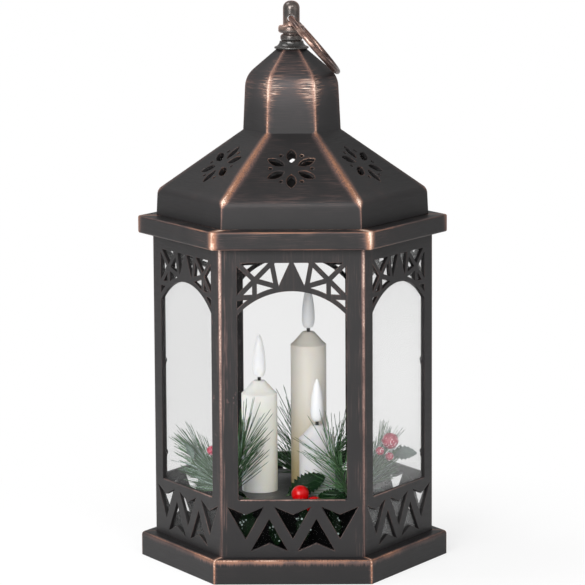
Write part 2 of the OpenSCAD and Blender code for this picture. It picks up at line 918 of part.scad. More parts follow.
// GREENERY
// Places that the needles keep out of: candles, panes, the deck, berries and leaves
leaves_all = concat(leaves_front, leaves_left, leaves_right);
function leaf_foot(l) = l[0] - (l[4] / 2 + leaf_root) * leaf_turn(l)[0]
    - leaf_bow * l[4] * cross(leaf_turn(l)[0], leaf_turn(l)[1]);
stems = concat([for (l = leaves_all) if (len(l) > 5) [l[5], leaf_foot(l)]],
               [for (g = glitter) [g[2], g[0]]]);
function leaf_turn(l) = [
    [cos(l[1]) * cos(l[2]), sin(l[1]) * cos(l[2]), sin(l[2])],
    [-sin(l[1]) * cos(l[3]) - cos(l[1]) * sin(l[2]) * sin(l[3]),
     cos(l[1]) * cos(l[3]) - sin(l[1]) * sin(l[2]) * sin(l[3]), cos(l[2]) * sin(l[3])]];
function near_candle(p) = len([for (i = [0:2])
    if (norm([p[0], p[1]] - candle_at[i]) < candle_r + 1 && p[2] < flame_z(i) + flame_h) i]) > 0;
function near_pane(p) = max([for (k = [0:5]) p[0] * cos(60 * k + 30) + p[1] * sin(60 * k + 30)])
    > inner_a - pane_t - peg_r - 1.6;
function near_ball(p) = len([for (b = berries) if (norm(p - b) < berry_r + 1) 1]) > 0
    || len([for (g = glitter) if (norm(p - g[0]) < g[1] + 1) 1]) > 0;
function near_stem(p) = len([for (s = stems)
    let (v = s[1] - s[0], t = max(0, min(1, (p - s[0]) * v / (v * v))))
    if (norm(p - s[0] - t * v) < stem_r + 1.1) 1]) > 0;
function near_leaf(p) = len([for (l = leaves_all)
    let (m = leaf_turn(l), d = p - l[0])
    if (abs(d * cross(m[0], m[1])) < leaf_t + 1.9 && abs(d * m[0]) < l[4] / 2 + 2.2
        && abs(d * m[1]) < l[4] * 0.36 + 1) 1]) > 0;
function blocked(p) = p[2] < platform_z + 0.9 || near_candle(p) || near_pane(p) || near_ball(p)
    || near_stem(p) || near_leaf(p);

// The greatest clear length, at most len, of a needle from p along u
function clear_len(p, u, len) = let (steps = 12)
    let (hit = [for (k = [2:steps]) if (blocked(p + u * len * k / steps)) k])
    len * ((hit == [] ? steps + 1 : min(hit)) - 1) / steps;

function bow(w, t) = (1 - t) * (1 - t) * w[0] + 2 * t * (1 - t) * w[1] + t * t * w[2];
function bow_dir(w, t) = unit((1 - t) * (w[1] - w[0]) + t * (w[2] - w[1]));
function across(v) = unit(cross(v, abs(v[0]) < 0.7 ? [1, 0, 0] : [0, 1, 0]));

module needle(p, u, len) {
    a = across(u);
    b = cross(u, a);
    ring = [for (k = [0:2]) p - needle_sink * u + needle_r * (cos(120 * k) * a + sin(120 * k) * b)];
    polyhedron(points = concat(ring, [p + u * len]),
               faces = [[0, 1, 2], [0, 3, 1], [1, 3, 2], [2, 3, 0]]);
}

module twig_joint(w, t) {
    d = bow_dir(w, t);
    translate(bow(w, t))
        rotate([0, acos(d[2]), atan2(d[1], d[0])])
            cylinder(r = twig_r, h = 0.2, center = true, $fn = 6);
}

module sprig(twigs) {
    color([0.25, 0.36, 0.2])
        for (w = twigs) {
            for (k = [0:twig_parts - 1])
                hull() {
                    twig_joint(w, k / twig_parts);
                    twig_joint(w, (k + 1) / twig_parts);
                }
            for (k = [1:w[3]]) {
                t = 0.08 + 0.9 * k / w[3];
                d = bow_dir(w, t);
                a = across(d);
                b = cross(d, a);
                tilt = needle_tilt * (1.2 - 0.7 * t * t);
                u = cos(tilt) * d + sin(tilt) * (cos(golden * k) * a + sin(golden * k) * b);
                reach = clear_len(bow(w, t), u, needle_len * (0.82 + 0.18 * sin(97 * k)));
                if (reach > needle_min)
                    needle(bow(w, t), u, reach);
            }
        }
}

module pine_left() { sprig(twigs_left); }
module pine_right() { sprig(twigs_right); }
module pine_back() { sprig(twigs_back); }

// A closed skin over rings that all have the same number of points
module skin(rings) {
    n = len(rings[0]);
    m = len(rings) - 1;
    sides = [for (i = [0:m - 1], k = [0:n - 1])
        let (a = i * n + k, b = i * n + (k + 1) % n)
        each [[a, b + n, b], [a, a + n, b + n]]];
    caps = [for (k = [1:n - 2]) each [[0, k, k + 1], [m * n, m * n + k + 1, m * n + k]]];
    polyhedron(points = flat(rings), faces = concat(sides, caps));
}

// Across a leaf at point p: half width w, raised by rise at both edges, thickness t
function leaf_ring(p, side, up, w, rise, t) = [
    p + w * side + (rise + t / 4) * up, p + t / 2 * up, p - w * side + (rise + t / 4) * up,
    p - w * side + (rise - t / 4) * up, p - t / 2 * up, p + w * side + (rise - t / 4) * up];

// A holly leaf with a spiny edge, folded along its midrib and bowed along its length
function leaf_rings(l) =
    let (m = leaf_turn(l), up = cross(m[0], m[1]), size = l[4], foot = leaf_foot(l))
    concat(len(l) > 5 ? [leaf_ring(l[5], m[1], up, stem_r, 0, 2 * stem_r)] : [],
           [leaf_ring(foot, m[1], up, stem_r, 0, 2 * stem_r)],
           [for (k = [0:2 * spines])
               let (t = k / (2 * spines))
               let (belly = leaf_wide * size * pow(sin(180 * (0.04 + 0.93 * t)), 0.8))
               let (w = belly * (k % 2 == 1 ? 1 : 0.72))
               leaf_ring(l[0] + (t - 0.5) * size * m[0] - leaf_bow * size * pow(2 * t - 1, 2) * up,
                         m[1], up, w, w * tan(leaf_fold), leaf_t)]);

module leaves(list) {
    color([0.12, 0.25, 0.14])
        for (l = list)
            skin(leaf_rings(l));
}

// A straight wire from p to q
module stem(p, q) {
    d = q - p;
    translate(p)
        rotate([0, acos(d[2] / norm(d)), atan2(d[1], d[0])])
            cylinder(r = stem_r, h = norm(d), $fn = 24);
}

module holly_front() { leaves(leaves_front); }
module holly_low() { leaves(leaves_low); }
module holly_left() { leaves(leaves_left); }
module holly_right() { leaves(leaves_right); }

module berries_red() {
    color([0.7, 0.05, 0.06])
        for (b = berries)
            translate(b)
                sphere(berry_r);
}

module berries_glitter() {
    color([0.75, 0.2, 0.25])
        for (g = glitter) {
            translate(g[0])
                sphere(g[1]);
            stem(g[2], g[0]);
        }
}

base_plinth();
bottom_cover();
cover_screws();
battery_tray();
battery_door();
batteries();
contact_springs();
contact_plates();
circuit_board();
board_parts();
switch_body();
switch_knob();
candle_platform();
panel_front();
panel_front_right();
panel_back_right();
panel_back();
panel_back_left();
panel_front_left();
pane_front();
pane_front_right();
pane_back_right();
pane_back();
pane_back_left();
pane_front_left();
eave_collar();
roof();
finial_bell();
finial_post();
finial_nut();
ring_handle();
candle(0);  // candle_tall
candle(1);  // candle_medium
candle(2);  // candle_short
flame(0);  // flame_tall
flame(1);  // flame_medium
flame(2);  // flame_short
wicks();
leds();
led_leads();
pine_left();
pine_right();
pine_back();
holly_front();
holly_low();
holly_left();
holly_right();
berries_red();
berries_glitter();
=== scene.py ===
"""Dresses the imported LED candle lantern: brushed bronze shell, clear panes, wax
candles, pine, holly and berries, in a plain white studio."""

import math
import random
from functools import partialmethod

import bpy
from bpy.props import FloatProperty, FloatVectorProperty, IntProperty, PointerProperty
from mathutils import Euler, Matrix, Vector


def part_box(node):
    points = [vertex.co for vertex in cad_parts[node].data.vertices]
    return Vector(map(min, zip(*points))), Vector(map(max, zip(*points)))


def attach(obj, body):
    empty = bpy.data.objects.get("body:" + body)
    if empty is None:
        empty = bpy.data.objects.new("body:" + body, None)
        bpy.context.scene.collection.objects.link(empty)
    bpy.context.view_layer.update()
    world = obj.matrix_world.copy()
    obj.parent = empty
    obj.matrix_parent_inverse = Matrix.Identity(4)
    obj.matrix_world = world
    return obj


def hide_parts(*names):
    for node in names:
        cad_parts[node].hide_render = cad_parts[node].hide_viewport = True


bl_info = {
    "name": "LED candle lantern",
    "version": (1, 0, 0),
    "blender": (4, 5, 0),
    "location": "View3D > Sidebar > Lantern",
    "description": "Finishes, greenery and studio for the six-sided LED candle lantern",
    "category": "Object",
}

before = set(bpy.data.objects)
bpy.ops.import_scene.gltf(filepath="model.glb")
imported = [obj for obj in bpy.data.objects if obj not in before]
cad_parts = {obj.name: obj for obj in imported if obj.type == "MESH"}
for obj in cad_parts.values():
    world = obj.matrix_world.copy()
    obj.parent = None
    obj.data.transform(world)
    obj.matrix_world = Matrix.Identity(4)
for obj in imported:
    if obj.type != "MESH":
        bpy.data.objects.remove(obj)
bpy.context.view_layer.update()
MM = 0.001
COS30 = math.cos(math.radians(30))

# The camera, fitted to the photograph
CAMERA_PLACE = (0.01889, -1.82549, 0.42110)
CAMERA_HEADING = 0.010450
CAMERA_PITCH = 0.150967
CAMERA_ROLL = 0.005525
CAMERA_REACH = 50
FOCAL_PIXELS = 3440.25
IMAGE_PIXELS = 585
SENSOR_MM = 36

# Lamps as place in metres, size and watts, all turned to one point
LAMP_AIM = (0, 0, 0.15)
LAMPS = {
    "key_lamp": ((-0.75, -1.7, 0.7), 1.0, 38),
    "front_lamp": ((0.2, -1.4, 1.05), 0.7, 6),
    "fill_lamp": ((1.3, -1.0, 0.6), 1.0, 3),
    "top_lamp": ((-0.8, 0.1, 1.4), 0.7, 8),
    "left_glint": ((-0.55, -1.6, 1.0), 0.4, 4),
    "right_glint": ((0.65, -1.6, 1.0), 0.4, 4),
}

# The floor: half its width, its level and the stretch round the foot where the shadow shows
FLOOR_HALF = 4.0
FLOOR_LEVEL = -0.2 * MM
SHADOW_NEAR, SHADOW_FAR = 0.10, 0.26

# Levels and widths that the finishes follow, from the frame where a box gives them
PLATFORM_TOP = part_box("candle_platform")[1].z
DECK_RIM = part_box("base_plinth")[1]
COLLAR_LOW, COLLAR_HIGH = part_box("eave_collar")
LIP_HEIGHT = 3 * MM
SILL = 43.7 * MM
POST = 9.1 * MM
EYE_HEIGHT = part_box("ring_handle")[1].z - 1.5 * MM
PANE_INSIDE = -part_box("pane_front")[1].y
PANELS = ("front", "front_right", "back_right", "back", "back_left", "front_left")

# Copper on the roof by share of its height: width in mm and strength of the glow at the corners,
# strength of their sharp line, reach in mm and strength of the strokes beside them, streaks over
# whole faces, painted sheen that turns the paint paler where light catches it, and warmth of
# the copper
ROOF_COPPER = (
    (0.00, 1.8, 0.12, 0.20, 0.5, 0.00, 0.02, 0.00, 0.30),
    (0.12, 3.0, 0.30, 0.50, 1.5, 0.10, 0.08, 0.03, 0.20),
    (0.16, 6.6, 1.05, 1.15, 6.0, 0.45, 0.28, 0.08, 0.50),
    (0.20, 7.6, 0.58, 0.66, 5.0, 0.20, 0.16, 0.02, 1.00),
    (0.30, 9.6, 0.47, 0.52, 4.0, 0.10, 0.15, 0.00, 1.00),
    (0.50, 7.6, 0.40, 0.46, 2.0, 0.05, 0.12, 0.00, 1.00),
    (0.53, 2.4, 0.50, 0.60, 3.5, 0.40, 0.06, 0.05, 0.70),
    (0.65, 3.3, 0.60, 0.72, 7.0, 0.85, 0.14, 0.10, 0.45),
    (0.80, 5.4, 0.72, 0.90, 15.0, 1.35, 0.40, 0.34, 0.15),
    (0.87, 4.5, 0.46, 0.50, 12.0, 0.60, 0.28, 0.12, 0.25),
    (1.00, 3.6, 0.30, 0.38, 8.0, 0.22, 0.20, 0.00, 0.40),
)

# Copper on the finial at even steps up, strongest on the upper bead where it is partly a painted
# highlight, and on the ring by share of its height, which paints a highlight across its middle and
# shade at its low end
FINIAL_PAINT = (0.046, 0.047, 0.046)
FINIAL_COPPER_AND_SHINE = (0.04, 0.04, 0.08, 0.10, 0.75, 0.36, 0.10, 0.10, 0.08)
RING_COPPER_SHINE_AND_SHADE = ((0.0, 0.04), (0.3, 0.15), (0.55, 0.85), (1.0, 0.35))

# Candles: shift of the wax's colour, partly its own tone and partly painted light that makes the
# medium candle lighter and the others darker; shift towards the foot, a painted shade; how far up
# that shade reaches as a share of the height with its strength at the left and right; and the
# flame's shade, painted lighter or darker for each flame, where what is over 1 is a painted glow
CANDLES = {
    "tall": ((0.66, 0.66, 0.68), (0.42, 0.345, 0.16), (0.65, 1.0, 0.35), 0.81),
    "medium": ((1.12, 1.15, 1.26), (1.08, 1.07, 1.06), (2.0, 0.0, 1.0), 1.09),
    "short": ((0.63, 0.66, 0.77), (0.63, 0.66, 0.77), (0.65, 1.0, 0.35), 0.76),
}

# Contact springs: distance between cells, length, wire's radius, coil's radius at both ends,
# turns, and points in each turn
CELL_PITCH = 11.2 * MM
SPRING_LENGTH = 6.0 * MM
SPRING_WIRE = 0.35 * MM
SPRING_RADII = (3.2 * MM, 1.8 * MM)
SPRING_TURNS = 4.5
SPRING_STEPS = 20

# Twigs as root, middle and tip in millimetres, heights above the platform
TWIGS = {
    "left": (((-34, -19, 0.9), (-42, -13.5, 8), (-50, -7.5, 17)),
             ((-33, -27, 0.9), (-31, -30, 13), (-26, -32, 28))),
    "right": (((36, -14, 0.9), (42, -12, 9), (46, -9, 18)),
              ((28, -35, 0.9), (28, -37, 13), (18.5, -37.5, 26))),
    "back": (((1.5, 25, 0.9), (1.2, 26, 14), (0.6, 25, 30)),
             ((16, 27, 0.9), (20, 28, 8), (26, 26, 18))),
}
TWIG_STEPS = 14

# Needles of each twig: which way they tend, how wide they spread, how they crowd towards the
# root, their number and length as shares of the set ones, their share of frosting, which on the
# twigs towards the side panes also paints the pale haze of those panes, and the share of them with
# flakes; below, their tilt in degrees and its range, marks along one, its droop, the gaps it
# keeps, and the seeds of all random draws
TENDS = {
    "left": (((-0.42, 0.05, 0.32), 0.85, 2.1, 2.6, 0.86, 0.20, 0.42),
             ((0.12, 0, 0.42), 0.85, 1.2, 1.0, 1.0, 0.06, 0.20)),
    "right": (((0.18, -0.25, 0.36), 0.62, 3.4, 3.4, 0.78, 0.18, 0.45),
              ((-0.12, 0, 0.18), 1.0, 2.1, 0.78, 1.0, 0.06, 0.20)),
    "back": (((0, 0, 0.12), 1.0, 2.5, 1.7, 0.86, 0.06, 0.20),
             ((0, 0, 0.16), 1.0, 1.9, 1.1, 0.84, 0.06, 0.20)),
}
NEEDLE_TILT, NEEDLE_TILT_RANGE = 46, 16
NEEDLE_MARKS = (0.25, 0.5, 0.75, 0.95, 1.0)
NEEDLE_DROOP = 0.05
NEEDLE_GAP, PANE_GAP = 0.6 * MM, 1.6 * MM
PINE_SEED, HOLLY_SEED, GLITTER_SEED = 11, 31, 71

# Leaves as middle, turn, lift, roll, length and the foot of a wire stem, if any
LOW_Y = -49.07
LEAVES = {
    "front": (((7, -38.3, 8), 0, 27, 64, 21.5, None),
              ((-30, -36, 2.9), 150, 10, 40, 13, None),
              ((20.5, -42.2, 2.6), -8, -2, 48, 15, None)),
    "low": (((-24, LOW_Y, -10.5), -90, -70, 8, 17, None),
            ((-9, LOW_Y, -13), -78, -70, -10, 18, None),
            ((6, LOW_Y, -11), -96, -70, 6, 17, None),
            ((21, LOW_Y, -12.5), -84, -70, -8, 17, None)),
    "left": (((-55.6, -17.5, 22), 175, 66, 50, 10.5, (-38, -18, 0.6)),
             ((-55.5, -7, 8.2), 178, 22, 24, 14, (-42.5, -4.5, 0.6))),
    "right": (((59, -7, 18.6), 0, 4, 55, 14.5, (43.5, -5.5, 0.6)),
              ((43.3, -27.8, 2.5), -36, 8, -8, 15, None)),
}

# Spines of each group's leaves, and depth and sharpness of the hollows between them
LEAF_EDGES = {"front": (10, 0.34, 1.0), "low": (6, 0.34, 0.5),
              "left": (6, 0.34, 0.5), "right": (7, 0.36, 0.8)}

# Half width of a leaf as a share of its length, rise of its edge as a share of that half width,
# bend as a share of the length, height of its ripple, and points for each spine and each half
LEAF_WIDTH, LEAF_FOLD, LEAF_BEND = 0.30, 0.29, 0.06
LEAF_RIPPLE = 0.35 * MM
LEAF_ROWS, LEAF_COLUMNS = 12, 6

# Light that each group's green throws back, painted lighter or darker for the light each group
# gets, then the shares of white flecks and of a grey-blue frosting, which on the side groups also
# paints the pale haze of the panes in front of them
LEAF_LOOKS = {"front": (0.36, 0.0, 0.0), "low": (0.3, 1.0, 0.0),
              "left": (1.5, 0.4, 0.30), "right": (1.0, 0.0, 0.34)}
FROST_HAZE_COLOUR = (0.387, 0.4275, 0.45)

# Berries as middle and radius, and for the sugared ones the foot of the wire; the sugared ones'
# flakes stand out from a smaller body. The red ones' dimple and eye have widths in radians. Flakes
# have a number for each square of their width, a lean, and a depth as a share of the radius
RED_BERRIES = (((3.8, -46.6, 4.9), 4.7), ((11.2, -49.17, -0.6), 4.7))
RED_POLE = Vector((0.75, -0.2, 0.63)).normalized()
RED_DIMPLE = 0.10
DIMPLE_WIDTH, EYE_WIDTH = 0.16, 0.10
SUGARED_BERRIES = (((51.8, -15.5, 27.2), 4.7, (39, -17.5, 0.3)),
                   ((46.3, -20.5, 22.7), 2.4, (38, -21, 0.3)),
                   ((51.4, -19.5, 19.5), 2.3, (35.5, -22.5, 0.3)),
                   ((-43.6, -21.5, 23.5), 2.8, (-34, -23.5, 0.3)))
SUGARED_BODY = 0.93
FLAKE_HALF = 0.04 * MM
FLAKE_CROWD, FLAKE_LEAN, FLAKE_DEPTH = 9, 0.6, 0.985
FLAKE_TONES = (0.1, 0.4, 0.6, 0.75, 0.9, 1.0)
STEM = 0.42 * MM


def colour(name, description, *rgb):
    """A colour that a user can change, with its default."""
    return FloatVectorProperty(name=name, description=description, subtype="COLOR",
                               default=rgb, min=0, max=1)


def length(name, description, default, low, high):
    """A length in metres that a user can change, with its default and limits."""
    return FloatProperty(name=name, description=description, unit="LENGTH",
                         default=default, min=low, max=high)


class LanternFinishes(bpy.types.PropertyGroup):
    """Colours of the lantern's finishes."""

    bronze: colour("Bronze", "Dark paint of the shell", 0.0140, 0.0130, 0.0134)
    copper_deep: colour("Deep copper", "Copper where the brush left little", 0.070, 0.044, 0.040)
    copper: colour("Copper", "Copper brushed on the edges", 0.27, 0.160, 0.125)
    copper_bright: colour("Bright copper", "Copper on the sharpest edges", 0.86, 0.66, 0.54)
    wax: colour("Wax", "Ivory wax of the candles", 0.88, 0.84, 0.74)
    flame: colour("Flame", "Frosted lens of the flames", 0.93, 0.93, 0.93)
    # The panes' pale base colour at a slant: a painted sheen
    pane: colour("Pane", "Sheen of the clear panes", 0.62, 0.625, 0.625)
    plastic: colour("Black plastic", "Base cover, tray, door and platform", 0.030, 0.030, 0.032)
    needle: colour("Needle", "Green of the pine needles", 0.056, 0.144, 0.048)
    flock: colour("Flock", "Frosting on the needles and leaves", 0.62, 0.75, 0.74)
    holly: colour("Holly", "Green of the holly leaves", 0.004, 0.031, 0.006)
    berry: colour("Berry", "Red of the glossy berries", 0.52, 0.001, 0.002)
    sugar: colour("Sugared berry", "Pink-red of the glitter berries", 0.40, 0.014, 0.055)


class LanternSizes(bpy.types.PropertyGroup):
    """Sizes of the pieces that are modelled here."""

    needle_length: length("Needle length", "Longest pine needle", 0.029, 0.01, 0.04)
    needle_radius: length("Needle radius", "Needle radius at its root", 0.00023, 0.0001, 0.001)
    needles: IntProperty(name="Needles", description="Needles on each twig",
                         default=130, min=20, max=400)
    leaf_thickness: length("Leaf thickness", "Thickness of a holly leaf", 0.0004, 0.0001, 0.002)
    flake: length("Flake", "Width of a glitter flake", 0.0011, 0.0002, 0.002)


# Shader wiring

def tinted(rgb, by):
    """A colour times one number or three, no channel over 1."""
    shifts = by if hasattr(by, "__len__") else (by,) * 3
    return tuple(min(1.0, c * s) for c, s in zip(rgb, shifts))


class Value:
    """A shader socket to reckon with; each step adds a node to its tree."""

    def __init__(self, wires, socket):
        self.wires = wires
        self.socket = socket

    def calc(self, operation, other=0.0, clamp=False):
        return self.wires.out("Math", (self, other), operation=operation, use_clamp=clamp)

    __add__ = partialmethod(calc, "ADD")
    __sub__ = partialmethod(calc, "SUBTRACT")
    __mul__ = partialmethod(calc, "MULTIPLY")
    __truediv__ = partialmethod(calc, "DIVIDE")
    __pow__ = partialmethod(calc, "POWER")
    __abs__ = partialmethod(calc, "ABSOLUTE")
    least = partialmethod(calc, "MINIMUM")
    most = partialmethod(calc, "MAXIMUM")

    def remap(self, low, high, to_low=0.0, to_high=1.0, kind="SMOOTHSTEP"):
        """A clamped change of range, smooth unless kind says otherwise."""
        inputs = (self, low, high, to_low, to_high)
        return self.wires.out("MapRange", inputs, interpolation_type=kind)


def hypot(a, b):
    return (a * a + b * b).calc("SQRT")


class Wires:
    """Adds nodes to a shader tree."""

    def __init__(self, tree):
        self.tree = tree

    def feed(self, socket, value):
        """Sets a socket to a constant, or links a value to it."""
        if isinstance(value, Value):
            self.tree.links.new(value.socket, socket)
        elif socket.type == "RGBA":
            socket.default_value = (*value, 1)
        else:
            socket.default_value = value

    def node(self, kind, inputs=(), **settings):
        """A new node with these settings; inputs go in order, or by name or number."""
        node = self.tree.nodes.new("ShaderNode" + kind)
        for name, value in settings.items():
            setattr(node, name, value)
        pairs = inputs.items() if isinstance(inputs, dict) else enumerate(inputs)
        for key, value in pairs:
            self.feed(node.inputs[key], value)
        return node

    def out(self, kind, inputs=(), output=0, **settings):
        """The value that a new node gives."""
        return Value(self, self.node(kind, inputs, **settings).outputs[output])

    def mix(self, factor, a, b):
        return self.out("Mix", {0: factor, 6: a, 7: b}, 2, data_type="RGBA")

    def place(self, stretch=(1, 1, 1)):
        """The point on the piece in metres, stretched."""
        point = self.out("TexCoord", output="Object")
        if stretch == (1, 1, 1):
            return point
        return self.out("VectorMath", (point, stretch), operation="MULTIPLY")

    def axes(self, vector=None):
        """The x, y and z of a vector, by default of the point on the piece."""
        node = self.node("SeparateXYZ", (vector or self.place(),))
        return [Value(self, socket) for socket in node.outputs]

    def noise(self, scale, stretch=(1, 1, 1), detail=2.0, rough=0.5):
        return self.out("TexNoise", {"Vector": self.place(stretch), "Scale": scale,
                                     "Detail": detail, "Roughness": rough})

    def soft_edge(self, radius):
        """The normal of an edge rounded by radius."""
        return self.out("Bevel", {"Radius": radius}, samples=6)

    def attribute(self, name):
        return self.out("Attribute", output="Fac", attribute_name=name)

    def geometry(self, name):
        return self.out("NewGeometry", output=name)

    def ramp(self, value, stops):
        """A colour that follows a value from 0 to 1; stops are (value, colour)."""
        node = self.node("ValToRGB", (value,))
        marks = node.color_ramp.elements
        marks.remove(marks[1])
        marks[0].position = 0.0
        marks[0].color = (*stops[0][1], 1)
        for at, rgb in stops[1:]:
            marks.new(at).color = (*rgb, 1)
        return Value(self, node.outputs[0])

    def by_height(self, height, stops):
        """A value that follows the height; stops are (height in metres, value)."""
        low, high, top = stops[0][0], stops[-1][0], max(v for _, v in stops)
        greys = [((z - low) / (high - low), (v / top,) * 3) for z, v in stops]
        return self.ramp(height.remap(low, high, kind="LINEAR"), greys) * top

    def white_ray(self):
        """1 for a ray from the camera or through a clear sheet."""
        camera, sheet = (self.out("LightPath", output=f"Is {ray} Ray")
                         for ray in ("Camera", "Transmission"))
        return camera.most(sheet)


class Finish(Wires):
    """A new material with a principled shader."""

    def __init__(self, name):
        self.mat = bpy.data.materials.new(name)
        self.mat.use_nodes = True
        super().__init__(self.mat.node_tree)
        self.shader = self.tree.nodes["Principled BSDF"]

    def wire(self, base, rough, more=None):
        """Feeds the shader's colour and roughness, and more by name; returns the material."""
        for name, value in {"Base Color": base, "Roughness": rough, **(more or {})}.items():
            self.feed(self.shader.inputs[name], value)
        return self.mat

    def bump(self, height, distance, strength, normal=None):
        """Raises the surface by height, over the given normal; returns the material."""
        inputs = {"Strength": strength, "Distance": distance, "Height": height}
        if normal:
            inputs["Normal"] = normal
        self.feed(self.shader.inputs["Normal"], self.out("Bump", inputs))
        return self.mat


class Patina(Finish):
    """Dark bronze paint under copper brushed over it. Each layer raises the amount of copper,
    which runs from bronze through brown to bright copper. Stops are by height, with widths in mm."""

    def __init__(self, name, looks, side_shade, tint, depth):
        """The share after the looks is how much of the copper and of the painted sheen the side
        faces keep, which paints them as shaded from a light at the front and back; tint is a shift
        of its colour, depth the share of light that the bronze throws back."""
        super().__init__(name)
        self.looks = looks
        self.tint = tint
        self.bronze = tinted(looks.bronze, depth)
        self.corner, self.side, self.height, ahead = self.hexagon_lines()
        # Painted light: full on the faces at the front and back, down to the side share on the
        # faces at the sides
        self.spread = ahead.remap(0.35, 0.97, side_shade, 1.0)
        self.level = self.noise(1.0, (90, 90, 4600), 3.0, 0.62)
        self.upright = self.noise(1.0, (1700, 1700, 55), 3.0, 0.62)
        self.patches = self.noise(60.0)
        self.spray = self.noise(1500.0, rough=0.7)
        self.amount = None

    def hexagon_lines(self):
        """How far a point is from the nearest corner plane, its distance from the axis square to
        the nearest side, its height, and how squarely it lies at the front or back."""
        x, y, z = self.axes()
        cross, half = x * COS30, y * 0.5
        a, b, c = abs(y), abs(cross - half), abs(cross + half)
        side = a.most(b.most(c))
        return a.least(b.least(c)), side, z, a / side

    def at(self, stops):
        return self.by_height(self.height, stops)

    def width_at(self, stops):
        return self.at([(z, width * MM) for z, width in stops])

    def add(self, layer):
        """Raises the amount of copper to that of a layer, where the layer has more."""
        self.amount = self.amount.most(layer) if self.amount else layer

    def corner_glow(self, widths, strengths, even=0.7, fade=1.7):
        """Sprayed copper that fades away from each corner; even is the share left between
        specks, and a higher fade is steeper beside the corner and softer away from it."""
        near = self.corner.remap(self.width_at(widths), 0.0) ** fade
        self.add(near * self.at(strengths)
                 * self.spray.remap(0.34, 0.62, even, 1.5 - 0.5 * even)
                 * self.patches.remap(0.3, 0.6, 0.75, 1.1))

    def corner_strokes(self, reaches, strengths, strokes=None):
        """Streaks that a dry brush left beside the corners."""
        reach = self.width_at(reaches) * self.patches.remap(0.3, 0.65, 0.55, 1.15)
        self.add(self.corner.remap(reach, 0.0) * self.at(strengths)
                 * (strokes or self.level).remap(0.44, 0.68))

    def wash(self, strengths, strokes=None):
        """Faint streaks over whole faces."""
        self.add(self.at(strengths) * (strokes or self.level).remap(0.40, 0.70)
                 * self.patches.remap(0.25, 0.65, 0.4, 1.1))

    def chips(self, strength, low):
        """Small scattered flakes of copper, above this height."""
        self.add(self.noise(38.0, detail=1.0).remap(0.62, 0.70) * strength
                 * self.height.remap(low, low + 10 * MM) * self.noise(520.0).remap(0.55, 0.68))

    def rim(self, side, height, reach, strength, strokes=None, start=0.0):
        """Copper along a level edge that runs round at this distance from the axis and height,
        and on each side stops at start from its corners; lengths in metres."""
        away = hypot(self.side - side, self.height - height)
        ragged = (strokes or self.upright).remap(0.35, 0.66, 0.45, 1.15) * reach
        self.add(away.remap(ragged, 0.0) * strength * self.corner.remap(start - 0.8 * MM, start)
                 * self.patches.remap(0.28, 0.62, 0.55, 1.1))

    def worn_edges(self, radius, strength):
        """Flaky copper on every sharp edge."""
        normals = (self.soft_edge(radius), self.geometry("Normal"))
        flat = self.out("VectorMath", normals, "Value", operation="DOT_PRODUCT")
        self.add(flat.remap(0.985, 0.78) * strength * self.patches.remap(0.36, 0.60, 0.35, 1.1)
                 * self.spray.remap(0.34, 0.58, 0.5, 1.0))

    def finish(self, edge=0.4 * MM, pale=None, warm=None):
        """Wires the paint and its copper; pale are stops for a painted sheen that turns the paint
        paler grey where light would catch it, warm those for the share of the tint, which
        otherwise is full."""
        looks = self.looks
        # Painted shade: less copper on the faces at the sides
        amount = self.amount * self.spread
        dark = self.mix(self.patches, tinted(self.bronze, 0.85), tinted(self.bronze, 1.15))
        if pale:
            # Painted sheen: paler grey paint where light would catch the surface, weaker on the
            # side faces
            painted_sheen = self.at(pale) * self.spread * self.level.remap(0.3, 0.7, 0.75, 1.25)
            dark = self.mix(painted_sheen, dark, (0.115, 0.105, 0.108))
        deep, bright = looks.copper_deep, looks.copper_bright
        plain, tinged = (
            self.ramp(amount, [(0.0, deep), (0.25, deep), (0.6, middle), (0.95, bright)])
            for middle in (looks.copper, tinted(looks.copper, self.tint)))
        copper = self.mix(self.at(warm), plain, tinged) if warm else tinged
        coat = self.mix(amount.remap(0.03, 0.30), dark, copper)
        self.wire(coat, self.level.remap(0.25, 0.75, 0.38, 0.50), {
            "Metallic": amount.remap(0.1, 0.7, 0.0, 0.35), "Specular IOR Level": 0.22})
        brushed = self.axes(self.geometry("True Normal"))[2].remap(-0.4, -0.1)
        grain = (self.spray * 0.5 + self.level) * brushed
        return self.bump(grain, 0.04 * MM, 0.5, self.soft_edge(edge))


def turned_bronze(name, looks, base, amount, hollow):
    """The same paint on the round finial and ring, glossy and dark, where the copper shows in soft
    patches of wear; amount gives stops by height for how much of it shows, which on the ring also
    paints a highlight across its middle and shade at its low end, and on the finial partly a
    highlight on its upper bead. The eye of a hollow piece is matt."""
    coat = Finish(name)
    x, _, z = coat.axes()
    share = coat.by_height(z, amount)
    rub = coat.noise(110.0, (1, 1, 1.6), 3.0, 0.6)
    fine = coat.noise(1100.0)
    # Copper by height: wear and painted highlight together
    wear_and_shine = rub.remap(0.30, 0.62).calc("MULTIPLY", share, clamp=True)
    bright = rub.remap(0.50, 0.72) * (share * 0.45)
    metal, gloss = wear_and_shine * 0.2 + 0.6, 0.5
    if hollow:
        shine = hypot(x, z - EYE_HEIGHT).remap(3.0 * MM, 2.6 * MM, 1.0, 0.0)
        metal, gloss = shine * metal, shine * gloss
    paint = coat.mix(bright, coat.mix(wear_and_shine, base, looks.copper), looks.copper_bright)
    coat.wire(paint, fine.remap(0.2, 0.8, 0.19, 0.28), {
        "Metallic": metal, "Specular IOR Level": gloss,
        "Sheen Weight": z.remap(EYE_HEIGHT - 12 * MM, EYE_HEIGHT - 8 * MM, 0.05, 0.5),
        "Sheen Tint": (0.95, 0.55, 0.45), "Sheen Roughness": 0.35})
    return coat.bump(fine, 0.03 * MM, 0.5, coat.soft_edge(0.3 * MM))


